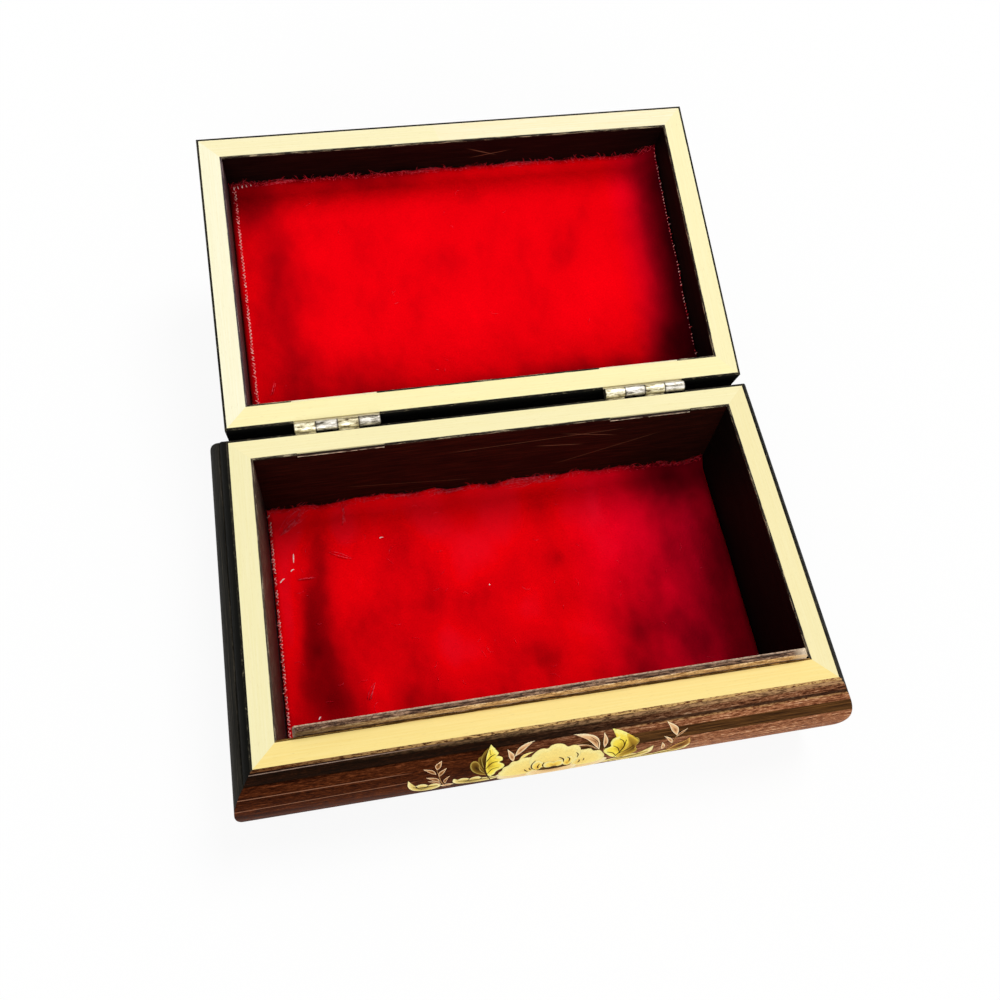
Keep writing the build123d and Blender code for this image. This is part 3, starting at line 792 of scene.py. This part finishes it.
def edgeThreads(half, settings, draw):
    # zigzag stitches where the end shows its edge, and short dashes where it curls away
    mesh = bmesh.new()
    front, back = settings["sides"]
    tooth = pinking["tooth"]
    lift, more = looseBits["lift"]
    for end, way, inset in zip(settings["ends"], (1, -1), settings["threads"]):
        if not inset:
            continue
        dashes = way < 0
        for k in range(round((back - front - 2) / tooth * 2)):
            if draw.random() < looseBits["gap"] or (dashes and k % 2):
                continue
            line = []
            for t in (0.1, 0.5, 0.9) if dashes else (0, 0.5, 1):
                v = front + 1 + k * tooth / 2 + t * tooth / 2
                zigzag = 0 if dashes else toothShift(v) * pinking["stitch"] / pinking["depth"]
                u = end + way * (inset + zigzag + draw.uniform(-looseBits["waver"], looseBits["waver"]))
                high = pileHeight(settings, u, v) + lift + draw.uniform(0.0, more)
                line.append(halfPoint(half, u, v, settings["floor"] - high))
            wide = looseBits["thread"] * draw.uniform(*looseBits["stitch"])
            wide *= looseBits["dash"] if dashes else 1
            strandTube(mesh, line, wide, flat=looseBits["pressed"])
            if draw.random() < looseBits["fray"]:
                reach = [draw.uniform(*span) for span in looseBits["frayReach"]]
                reach[0] *= -way
                strandTube(mesh, [line[0] + Vector(reach) * t * mm for t in (0, 0.6, 1)], wide * 0.5)
    piece = newPiece(f"{half}_edge_threads", mesh, half, paleThread)
    piece.data.shade_flat()
    return piece


def standingFibres(half, settings, draw):
    mesh = bmesh.new()
    low, high = settings["ends"]
    front, back = settings["sides"]
    wall, into = (back, -1) if half == "base" else (front, 1)
    steps = (0, 0.25, 0.5, 0.75, 1)

    def onPile(u, v, lift):
        u, v = min(high - 0.2, max(low + 0.2, u)), min(back, max(front, v))
        return halfPoint(half, u, v, settings["floor"] - pileHeight(settings, u, v) - lift)

    for k in range(looseBits["edgeFibres"][half]):
        u, v = draw.uniform(low + 0.5, high - 0.5), wall + into * draw.uniform(*looseBits["nearWall"])
        long = draw.uniform(*looseBits["short" if draw.random() < looseBits["shortShare"] else "long"])
        leanU, leanV = draw.uniform(-1, 1) * long, into * draw.uniform(*looseBits["lean"]) * long
        line = [onPile(u + leanU * t * t, min(back - 0.05, max(front + 0.05, v + leanV * t * t)),
                       long * t * 0.9) for t in (0, 0.35, 0.7, 1)]
        strandTube(mesh, line, looseBits["fibre"] * draw.uniform(*looseBits["thick"]), 3)
    for k in range(looseBits["pileFibres"][half]):
        u, v = draw.uniform(low + 3, high - 6), draw.uniform(front + 4, back - 3)
        turn = draw.uniform(0, 2 * pi)
        curl, long = draw.uniform(*looseBits["curl"]), draw.uniform(*looseBits["pileLong"])
        line = [onPile(u + long * t * cos(turn + curl * t), v + long * t * sin(turn + curl * t),
                       0.1 + 0.3 * sin(pi * t)) for t in steps]
        strandTube(mesh, line, looseBits["fibre"], 3)
    for start, end, spread, count in looseBits["wisps"][half]:
        for k in range(count):
            (u0, v0), (u1, v1) = ([c + draw.gauss(0, spread / 2.5) for c in spot] for spot in (start, end))
            bend = 0.15 * draw.gauss(0, spread / 3)
            line = [onPile(u0 + (u1 - u0) * t - (v1 - v0) * bend * sin(pi * t),
                           v0 + (v1 - v0) * t + (u1 - u0) * bend * sin(pi * t),
                           0.1 + 0.5 * sin(pi * t)) for t in steps]
            strandTube(mesh, line, looseBits["wisp"], 3, flat=looseBits["pressed"])
    return newPiece(f"{half}_plush_fibres", mesh, half, redFibre)


def paleLint(half, settings):
    mesh = bmesh.new()
    for u, v, long, turn in looseBits["lint"][half]:
        line = []
        for t in (-0.5, -0.2, 0.2, 0.5):
            x, y = u + long * t * cos(radians(turn)), v + long * t * sin(radians(turn)) + 0.2 * cos(4 * t)
            line.append(halfPoint(half, x, y, settings["floor"] - pileHeight(settings, x, y) - 0.2))
        strandTube(mesh, line, looseBits["lintThread"], flat=looseBits["pressed"])
    piece = newPiece(f"{half}_lint", mesh, half, paleLintThread)
    piece.data.shade_flat()
    return piece


for half, settings in linings.items():
    draw = random.Random(settings["seed"])
    cloth = layCloth(half, settings)
    edgeThreads(half, settings, draw)
    standingFibres(half, settings, draw)
    paleLint(half, settings)
print("linings laid")


# The painted spray on the bowed front: each leaf and petal is a thin film of brushed colour

paintFilm = {
    "lift": 0.05, "layer": 0.025, "step": 0.45, "thick": 0.05,
    # how deep below the rim the quirk lies, from which the spray's places are measured down the bow
    "quirk": 4.8,
    # the bow's section: how far below the rim and above the floor it starts and ends, its step, and over
    # how far its slope is taken
    "section": (0.6, 1.6, 0.2), "slope": 0.4,
    # a patch's rings, by how far in from its outline; a leaf's width along its rib; a line's ends and swell
    "rings": (0, 0.1, 0.24, 0.5, 0.75), "leaf": ((0, 0), (0.22, 0.75), (0.45, 1), (0.7, 0.62), (1, 0)),
    "line": (0.12, 0.38),
}


def frontSection():
    # the front wall's outer section: the way down it from the quirk, how far forward it is, and its height
    wall = nodes["base_front_wall"].data
    tree = BVHTree.FromPolygons([v.co for v in wall.vertices], [f.vertices[:] for f in wall.polygons])
    top, bottom, step = paintFilm["section"]
    heights = np.arange(rimHeight - top * mm, bottom * mm, -step * mm)
    reach = [tree.ray_cast(Vector((0, -1, z)), Vector((0, 1, 0)))[0].y for z in heights]
    steps = [hypot(y1 - y0, z1 - z0) for y0, y1, z0, z1 in zip(reach, reach[1:], heights, heights[1:])]
    down = np.concatenate(([0], np.cumsum(steps)))
    down -= np.interp(paintFilm["quirk"] * mm, rimHeight - heights, down)
    return down / mm, np.array(reach), heights


sectionDown, sectionReach, sectionHeight = frontSection()


def onFront(along, down, lift):
    spot = [Vector((0, np.interp(d, sectionDown, sectionReach), np.interp(d, sectionDown, sectionHeight)))
            for d in (down - paintFilm["slope"], down, down + paintFilm["slope"])]
    slope = spot[2] - spot[0]
    out = Vector((0, slope.z, -slope.y)).normalized()
    return Vector((along * mm, spot[1].y, spot[1].z)) + out * lift * mm


# rim, body and heart colours of each kind of stroke; a line has one
paintColours = {
    "petal": ("#FFEE9C", "#FFE486", "#F6D070"), "lowPetal": ("#FFEAB4", "#F8D296", "#C89658"),
    "bowl": ("#FFF0A4", "#FFDC66", "#D89A2C"), "shade": ("#8A6420", "#54380C", "#2A1804"),
    "gold": ("#FFF48C", "#FFE44C", "#B89024"), "goldShade": ("#E8C448", "#A47E28", "#503410"),
    "olive": ("#8A6C28", "#50380E", "#241404"), "oliveCurl": ("#B89240", "#6A4A14", "#2E1A06"),
    "peach": ("#FFE8BC", "#E8B480", "#86522C"), "bud": ("#FFD8AA", "#A87040", "#482810"),
    "lowLeaf": ("#FFEEA8", "#E4C66C", "#7C6424"), "brownLeaf": ("#D8A458", "#8A5A24", "#442A0C"),
    "brownLine": ("#42240A",), "oliveLine": ("#B09648",), "stem": ("#A87C4C",),
}


def smoothLine(points, closed):
    # a smooth curve through the points; a point with a third value is a sharp tip
    count = len(points)
    spots = [Vector(p[:2]) for p in points]
    line = []
    for k in range(count if closed else count - 1):
        p1, p2 = spots[k], spots[(k + 1) % count]
        before = spots[k - 1] if closed or k else p1
        after = spots[(k + 2) % count] if closed or k + 2 < count else p2
        way1 = (p2 - p1) if len(points[k]) == 3 else (p2 - before) / 2
        way2 = (p2 - p1) if len(points[(k + 1) % count]) == 3 else (after - p1) / 2
        pieces = max(2, round((p2 - p1).length / paintFilm["step"]))
        for j in range(pieces):
            t = j / pieces
            line.append(p1 * (2 * t ** 3 - 3 * t ** 2 + 1) + way1 * (t ** 3 - 2 * t ** 2 + t)
                        + p2 * (3 * t ** 2 - 2 * t ** 3) + way2 * (t ** 3 - t ** 2))
    return line if closed else line + [spots[-1]]


def leafStroke(base, tip, width, bend):
    # a slender leaf: its heart, and its outline from base to tip and back
    base, tip = Vector(base), Vector(tip)
    side = Vector((base.y - tip.y, tip.x - base.x)).normalized()
    places, swell = zip(*paintFilm["leaf"])
    rib = [base.lerp(tip, t) + side * bend * sin(pi * t) for t in places]
    left = [rib[k] + side * swell[k] * width / 2 for k in (1, 2, 3)]
    right = [rib[k] - side * swell[k] * width / 2 for k in (3, 2, 1)]
    return rib[1].lerp(rib[2], 0.5), [(*rib[0], 1), *left, (*rib[4], 1), *right]


def paintPatch(mesh, colours, layer, heart, outline):
    # rings from the outline in to the heart, each in its colour
    rim, body, core = (Vector(srgb(c)) for c in paintColours[colours])
    line = smoothLine(outline, True)
    tints = (rim, rim, rim.lerp(body, 0.8), body, body.lerp(core, 0.5))
    lift = paintFilm["lift"] + layer * paintFilm["layer"]
    tint = mesh.verts.layers.float_color["paint"]
    made = []
    for share, colour in zip(paintFilm["rings"], tints):
        made.append([mesh.verts.new(onFront(*spot.lerp(Vector(heart), share), lift)) for spot in line])
        for vert in made[-1]:
            vert[tint] = colour
    middle = mesh.verts.new(onFront(*heart, lift))
    middle[tint] = core
    for outer, inner in zip(made, made[1:]):
        for k in range(len(line)):
            mesh.faces.new((outer[k - 1], outer[k], inner[k], inner[k - 1]))
    for k in range(len(line)):
        mesh.faces.new((made[-1][k - 1], made[-1][k], middle))


def paintLine(mesh, colours, layer, width, points):
    # a brush line that swells in the middle and runs out at its ends
    line = smoothLine(points, False)
    lift = paintFilm["lift"] + layer * paintFilm["layer"]
    ends, swell = paintFilm["line"]
    pairs = []
    for k, spot in enumerate(line):
        way = line[min(k + 1, len(line) - 1)] - line[max(k - 1, 0)]
        share = ends + swell * sin(pi * k / (len(line) - 1))
        side = Vector((-way.y, way.x)).normalized() * width * share
        pairs.append([mesh.verts.new(onFront(*(spot + side * s), lift)) for s in (1, -1)])
        for vert in pairs[-1]:
            vert[mesh.verts.layers.float_color["paint"]] = srgb(paintColours[colours][0])
    for (a, b), (c, d) in zip(pairs, pairs[1:]):
        mesh.faces.new((a, c, d, b))


# Along the front from its middle, and down the bow from the quirk. Lower leaves and petals run on
# round the bow, where the photograph doesn't reach. A patch has its colours, layer, heart and outline; a
# leaf its colours, layer, base, tip, width and bend; lines of one colour and layer have width and points.
frontSpray = {
    "low_leaves": {
        "patches": [
            ("lowLeaf", 0, (-36.4, 15.2), (-39.8, 7.4, 1), (-39, 9.6), (-38, 11.4), (-36.8, 10.8),
             (-35.4, 11.1), (-34.5, 12.5, 1), (-33.4, 11.7), (-32, 12.2), (-31.2, 13.8), (-31.8, 15.8),
             (-33.6, 17.4), (-36.2, 17.2), (-38.6, 15), (-39.9, 11)),
            ("peach", 0, (-29.6, 14.8), (-31.2, 14.2, 1), (-29.8, 13.6), (-28.4, 14), (-27.6, 14.8, 1),
             (-29.4, 15.8), (-30.8, 15.4)),
            ("lowLeaf", 1, (-23.6, 15.2), (-27.9, 10.4, 1), (-27, 12), (-26, 11.2), (-24.6, 11.3),
             (-23.5, 12.4, 1), (-22.4, 11.5), (-21, 11.7), (-20.1, 13), (-17.4, 13.4), (-14.4, 14, 1),
             (-16.4, 16), (-19.4, 17), (-23, 16.6), (-26.4, 15.4), (-28, 13)),
            ("lowLeaf", 1, (21, 16), (26.9, 10, 1), (26.3, 12), (24.6, 12.5), (23.4, 13.8), (23.2, 14.4, 1),
             (21.4, 13.6), (19.6, 14.4), (18.8, 15.6, 1), (15.5, 15.6), (12, 18.5, 1), (17, 19.4),
             (21.5, 18.6), (24.6, 17.6), (26.8, 14.4)),
            ("lowLeaf", 0, (31, 19.2), (37.8, 12.6, 1), (37.5, 14.4), (35.8, 15.2), (33.9, 16),
             (33.4, 16.6, 1), (31.8, 16.2), (29.8, 17), (28.8, 17.8, 1), (25, 18.4), (18, 20.5, 1),
             (24, 22), (29, 21.8), (33.4, 20.6), (36.8, 17.6)),
        ],
        "lines": [
            ("brownLine", 3, [
                (0.5, (-38.6, 12), (-37.2, 13.2), (-34.4, 13.6), (-32, 13.6)),
                (0.42, (-34.5, 12.5), (-35, 13.4), (-35.6, 14)),
                (0.32, (-37.9, 11.5), (-37.6, 12.6), (-37, 13.4)),
                (0.44, (-26.6, 13), (-23, 13.8), (-19.4, 14.4), (-15.6, 14.6)),
                (0.4, (-23.5, 12.4), (-24, 13.4), (-24.8, 14)),
                (0.34, (-20.1, 13), (-20.5, 13.8), (-21.2, 14.2)),
                (0.32, (26, 13.8), (21, 15.8), (15, 17.6)),
                (0.28, (23.2, 14.4), (22.8, 15), (22, 15.6)),
                (0.36, (36.8, 15.8), (30, 18.6), (22, 20.6)),
            ]),
        ],
    },
    "big_leaves": {
        "patches": [
            ("olive", 1, (-19.4, 6.6), (-18.2, -1, 1), (-19.7, 0.4), (-20.3, 1.6), (-21.3, 2.4),
             (-21.2, 4.4), (-20.6, 6.6), (-19.8, 9), (-18.4, 11.4), (-17.6, 8), (-17.6, 3)),
            ("oliveCurl", 1, (-21.8, 6.6), (-21, 5, 1), (-21.5, 3.7), (-22.5, 3.2), (-23.3, 4),
             (-23.4, 5.8), (-22.8, 7.8), (-21.4, 9.8), (-19.4, 11.4), (-17.8, 12.6), (-18.6, 10.2),
             (-20, 7.6)),
            ("gold", 2, (-18.6, 6.4), (-17.85, -2.25, 1), (-16.9, -0.4), (-15.9, 1.6), (-16.4, 2.4),
             (-15.1, 3.2), (-14.9, 4.6), (-15.8, 5.2), (-14.5, 6.7), (-14.7, 8.3), (-16.4, 9.8),
             (-17, 11.6), (-18, 12.9), (-19.2, 10.6), (-19.6, 7.6), (-19.4, 5), (-19.2, 2.2), (-18.6, 0)),
            ("gold", 1, (17.6, 8), (14.6, -0.6, 1), (16.6, 0.2), (18, 1.2), (20, 3), (21.2, 4.4),
             (22.3, 6.2), (21.6, 8.8), (22.2, 11), (20.8, 13.4), (17.5, 14.9), (15.2, 12.9), (13.9, 10.8),
             (12.8, 8.9), (12.9, 7.4), (14.5, 6.5), (14.3, 4.8), (15, 3.2), (16.5, 2.6), (16.4, 1.2)),
            ("goldShade", 2, (21.2, 9.4), (18.6, 2.2), (20, 3), (21.2, 4.4), (22.3, 6.2), (21.6, 8.8),
             (22.2, 11), (20.8, 13.4), (17.6, 14.9), (16.9, 13.4), (18.4, 9.6), (19.2, 6)),
        ],
        "lines": [
            ("oliveLine", 3, [
                (0.36, (-21, 5), (-21.6, 3.8), (-22.5, 3.3), (-23.2, 4.2), (-23.2, 6.2), (-22.2, 8.6),
                 (-20, 11)),
                (0.3, (-20.9, 5.2), (-21.1, 6.4), (-20.5, 8.4), (-19.2, 10.4)),
                (0.22, (-19.9, 1), (-20.4, 2.8), (-20.2, 5.2), (-19.7, 7.4)),
            ]),
            ("brownLine", 4, [
                (0.5, (-18.7, 0), (-19.3, 2.4), (-19.5, 5.2), (-19.6, 7.8), (-19.1, 10.8), (-17.8, 16.4)),
                (0.26, (-16.8, 1.8), (-18, 2.4), (-19.2, 4.4)),
                (0.26, (-16.2, 4.8), (-17.8, 5.2), (-19.4, 7.6)),
                (0.22, (-15.9, 7.8), (-17.6, 8.2), (-18.9, 10.6)),
                (0.36, (18.6, 4.4), (18.1, 8), (17.2, 11), (16.2, 13.8)),
                (0.24, (16.6, 3.6), (17.8, 4.8), (18.2, 6.8)),
                (0.26, (15.2, 6.4), (16.6, 8), (17.3, 10.6)),
                (0.24, (13.6, 9.2), (15.4, 10.4), (16.6, 12.8)),
                (0.26, (21, 7.6), (19.6, 9.4), (17.4, 11.2)),
            ]),
            ("oliveLine", 3, [
                (0.34, (20.4, 3.8), (21.6, 4.4), (22.2, 6.2), (21.3, 8.2)),
                (0.3, (21.2, 9.4), (22.2, 11.2), (20.9, 13.2)),
            ]),
        ],
    },
    "bloom": {
        "patches": [
            ("lowPetal", 3, (-6, 14.5), (-15.2, 12.5), (-16, 15.2), (-15, 18.6), (-11.6, 21.4),
             (-7.4, 22.4), (-4, 20), (-3, 14)),
            ("lowPetal", 3, (4.5, 14.5), (12.8, 12.5), (14.2, 15.4), (13.4, 18.6), (10.4, 21.4),
             (6.2, 22.6), (2.4, 20), (1.6, 14)),
            ("lowPetal", 4, (-0.8, 15), (-6.5, 14), (-7.6, 19), (-5.6, 23.2), (-1.4, 24.8), (2.6, 24.2),
             (6, 21.2), (6, 17), (4.6, 14)),
            ("petal", 4, (-7, 13.5), (-6.5, 6.2), (-7.8, 5.3), (-9.8, 5.2), (-10.9, 6.1), (-12.4, 6.2),
             (-13.3, 7.7), (-14.6, 8.5), (-15, 10.2), (-15.8, 11.6), (-15, 14.6), (-11, 16.4), (-6, 15)),
            ("petal", 4, (5.6, 13.5), (5.6, 6.4), (7, 5.8), (8.8, 5.8), (9.8, 7.1), (11.4, 7.3),
             (12.4, 8.9), (13.2, 11.2), (12.6, 14.2), (9.5, 16.2), (4.5, 15)),
            ("petal", 5, (-1, 11), (-7.6, 8.6), (-7.4, 5.6), (-6, 3.4), (-4.4, 2.5), (-2.8, 2.8),
             (-1.9, 1.8), (0, 1.5), (1.6, 2.2), (2.6, 3.3), (4.4, 3), (5.7, 4), (6.2, 5.8), (6, 9),
             (3.5, 13), (-5, 13)),
            ("shade", 6, (-0.8, 14), (-5.4, 12.6), (-3, 12.2), (0, 12), (3.4, 12.4), (3.9, 14.2),
             (1.4, 15.2), (-2, 15.3), (-5, 14.6)),
            ("bowl", 7, (-5.2, 12.4), (-6.6, 8.4), (-5.4, 7.6), (-4.2, 8.6), (-3.6, 10), (-4.2, 12.4),
             (-5.2, 14.2), (-6.4, 12.6), (-6.9, 10.2)),
            ("bowl", 7, (2.9, 12), (3, 7.8), (4, 8.2), (4.2, 10.2), (3.9, 12.6), (3.2, 13.6), (1.9, 12.4),
             (1.6, 9.6)),
            ("bowl", 7, (-0.8, 12), (-3.4, 9.6), (-2, 9), (-1, 9.8), (0.6, 9), (1.7, 10), (1.6, 12.4),
             (0.4, 13.2), (-0.6, 12.4), (-2, 13), (-3.4, 12.2)),
        ],
        "lines": [
            ("brownLine", 8, [
                (0.36, (-6, 7.4), (-6.9, 9.2), (-6.8, 11.6), (-5.6, 13.6)),
                (0.4, (-4.8, 9.4), (-5.2, 11), (-4.9, 12.6)),
                (0.38, (-3.6, 9), (-3.9, 10.6), (-3.5, 12.2)),
                (0.36, (0.4, 7.6), (1.6, 8.8), (1.8, 10.8)),
                (0.36, (2.6, 8), (3.4, 9.2), (3.3, 11.2)),
                (0.28, (-8.8, 11.6), (-8.4, 13), (-7.6, 14)),
                (0.28, (-7.6, 11.2), (-7.2, 12.4), (-6.8, 13)),
                (0.3, (5, 6.4), (5.6, 7.6), (5.4, 9.2)),
                (0.32, (6.2, 11), (6.3, 12.2), (6, 13.2)),
                (0.26, (7.4, 10.4), (7.5, 11.2), (7.3, 12)),
                (0.55, (-5.4, 13.4), (-3, 14.6), (0, 14.9), (3.4, 13.9)),
            ]),
        ],
    },
    "peach_leaves": {
        "leaves": [
            ("peach", 3, (-12.1, 5.9), (-13.6, 0.7), 1.5, 0.3),
            ("peach", 3, (-11.6, 3.9), (-6.2, -0.9), 1.7, -0.75),
            ("petal", 3, (-10.4, 5.6), (-6.6, 3.2), 1, -0.45),
            ("peach", 3, (11.3, 7), (4, -0.9), 2.3, 2),
            ("peach", 3, (12.7, 6.4), (12.3, 0.1), 1.3, 0.35),
            ("bud", 3, (10.9, 6.8), (3.6, 3.4), 0.45, 1.1),
        ],
        "lines": [
            ("brownLine", 4, [
                (0.2, (11, 6), (10.6, 3.2), (8.6, 0.9)),
            ]),
            ("stem", 2, [
                (0.3, (-11.7, 3.9), (-12, 6.4), (-12.4, 7.6)),
                (0.3, (11.3, 7), (12.1, 8.6), (12.6, 10.4)),
                (0.26, (12.7, 6.2), (12.5, 8.6)),
            ]),
        ],
    },
    "left_sprig": {
        "leaves": [
            ("bud", 2, (-32.1, 4.4), (-30.7, 1), 1.6, -0.3),
            ("bud", 2, (-32.4, 6.4), (-35.7, 3.3), 1.2, 0.35),
            ("bud", 2, (-31.7, 7.6), (-29.6, 4.2), 1.3, -0.3),
            ("bud", 2, (-31.5, 10.7), (-35.1, 7.3), 1.4, 0.4),
            ("bud", 2, (-31.2, 12.6), (-34.8, 9.4), 1, 0.4),
            ("bud", 2, (-30.1, 12.6), (-28.7, 8), 0.9, -0.6),
        ],
        "lines": [
            ("stem", 1, [
                (0.3, (-32.2, 4.2), (-31.7, 7.4), (-31.2, 10.8), (-30.3, 14), (-28.6, 17)),
            ]),
            ("brownLine", 4, [
                (0.5, (-31.75, 2), (-31.5, 2.6)),
            ]),
        ],
    },
    "right_sprig": {
        "patches": [
            ("brownLeaf", 1, (35, 13.4), (36.9, 8.6, 1), (35.8, 10.2), (33.6, 11.8), (32.4, 14),
             (31.4, 16.4, 1), (34.4, 16.4), (36.6, 14.8), (37.6, 12)),
        ],
        "leaves": [
            ("peach", 2, (32.9, 6.2), (29.5, -0.2), 1.9, 0.55),
            ("bud", 2, (32.8, 6.9), (35.6, 3.8), 0.8, -0.1),
            ("peach", 2, (32.1, 10.3), (29.2, 5.7), 1.1, 0.45),
            ("peach", 2, (29.9, 13.9), (29.1, 8.8), 1.1, 0.3),
        ],
        "lines": [
            ("stem", 1, [
                (0.3, (32.8, 6), (32.4, 9), (31.9, 12), (31.2, 16.2)),
            ]),
        ],
    },
}


for name, strokes in frontSpray.items():
    mesh = bmesh.new()
    mesh.verts.layers.float_color.new("paint")
    for colours, layer, heart, *outline in strokes.get("patches", ()):
        paintPatch(mesh, colours, layer, heart, outline)
    for colours, layer, *shape in strokes.get("leaves", ()):
        paintPatch(mesh, colours, layer, *leafStroke(*shape))
    for colours, layer, lines in strokes["lines"]:
        for width, *points in lines:
            paintLine(mesh, colours, layer, width, points)
    bmesh.ops.recalc_face_normals(mesh, faces=mesh.faces)
    piece = newPiece(f"front_painted_{name}", mesh, "base", paint)
    film = piece.modifiers.new("film", "SOLIDIFY")
    film.thickness = paintFilm["thick"] * mm
    film.offset = 0
print("spray painted")


# Studio: pale floor, soft light from the back right, the photograph's camera

studio = {
    # the floor in metres, and how much of it is lit and shaded rather than white
    "floor": "#F9F9F8", "floorSize": 6.0, "floorShade": 0.09, "sky": 0.45,
    # each sun: strength, the way its light goes and its angle
    "suns": {"soft_sun": (1.6, (-0.45, -0.35, -1.0), 25.0), "front_fill": (1.0, (0.15, 1.0, -0.5), 40.0)},
    # the camera is set by where it aims on the rim, from which way and how far, and its roll
    "aim": (-3.52, 18.27, 41.0), "distance": 299.8, "azimuth": 18.83, "elevation": 62.23, "roll": 9.69,
    "lens": 37.975, "clipStart": 0.01,
}


def whiteOrLit(tree, lit, white, output):
    # the camera, mirrors and glass see white; everything else sees what is lit
    light = addNode(tree, "LightPath").outputs
    seen = addNode(tree, "Math", (light["Is Camera Ray"], light["Is Glossy Ray"]), operation="ADD")
    seen = addNode(tree, "Math", (seen, light["Is Transmission Ray"]), operation="ADD", use_clamp=True)
    seen = addNode(tree, "Math", (seen, white), operation="MULTIPLY")
    glow = addNode(tree, "Emission", {"Color": (1, 1, 1, 1), "Strength": 1.0})
    mixed = addNode(tree, "MixShader", (seen, lit, glow))
    tree.links.new(mixed.outputs[0], tree.nodes[output].inputs["Surface"])


floorMesh = bmesh.new()
bmesh.ops.create_grid(floorMesh, x_segments=1, y_segments=1, size=studio["floorSize"] / 2)
floorMaterial, tree = newMaterial("matt_floor", Base_Color=srgb(studio["floor"]), Roughness=0.9)
whiteOrLit(tree, tree.nodes["Principled BSDF"], 1 - studio["floorShade"], "Material Output")
meshObject("floor", floorMesh, floorMaterial)

world = bpy.data.worlds.new("studio")
bpy.context.scene.world = world
world.use_nodes = True
sky = world.node_tree.nodes["Background"]
sky.inputs["Color"].default_value = (1, 1, 1, 1)
sky.inputs["Strength"].default_value = studio["sky"]
whiteOrLit(world.node_tree, sky, 1.0, "World Output")

for name, (strength, way, spread) in studio["suns"].items():
    light = bpy.data.lights.new(name, "SUN")
    light.energy = strength
    light.angle = radians(spread)
    newObject(name, light).rotation_euler = Vector(way).to_track_quat("-Z", "Y").to_euler()

turn, rise = radians(studio["azimuth"]), radians(studio["elevation"])
look = Vector((sin(turn) * cos(rise), cos(turn) * cos(rise), -sin(rise)))
camera = newObject("camera", bpy.data.cameras.new("camera"))
camera.rotation_mode = "QUATERNION"
camera.rotation_quaternion = look.to_track_quat("-Z", "Y") @ Matrix.Rotation(
    radians(studio["roll"]), 3, "Z").to_quaternion()
camera.location = (Vector(studio["aim"]) - look * studio["distance"]) * mm
camera.data.lens = studio["lens"]
camera.data.clip_start = studio["clipStart"]
bpy.context.scene.camera = camera
bpy.context.scene.view_settings.view_transform = "Standard"
print("studio and camera set")
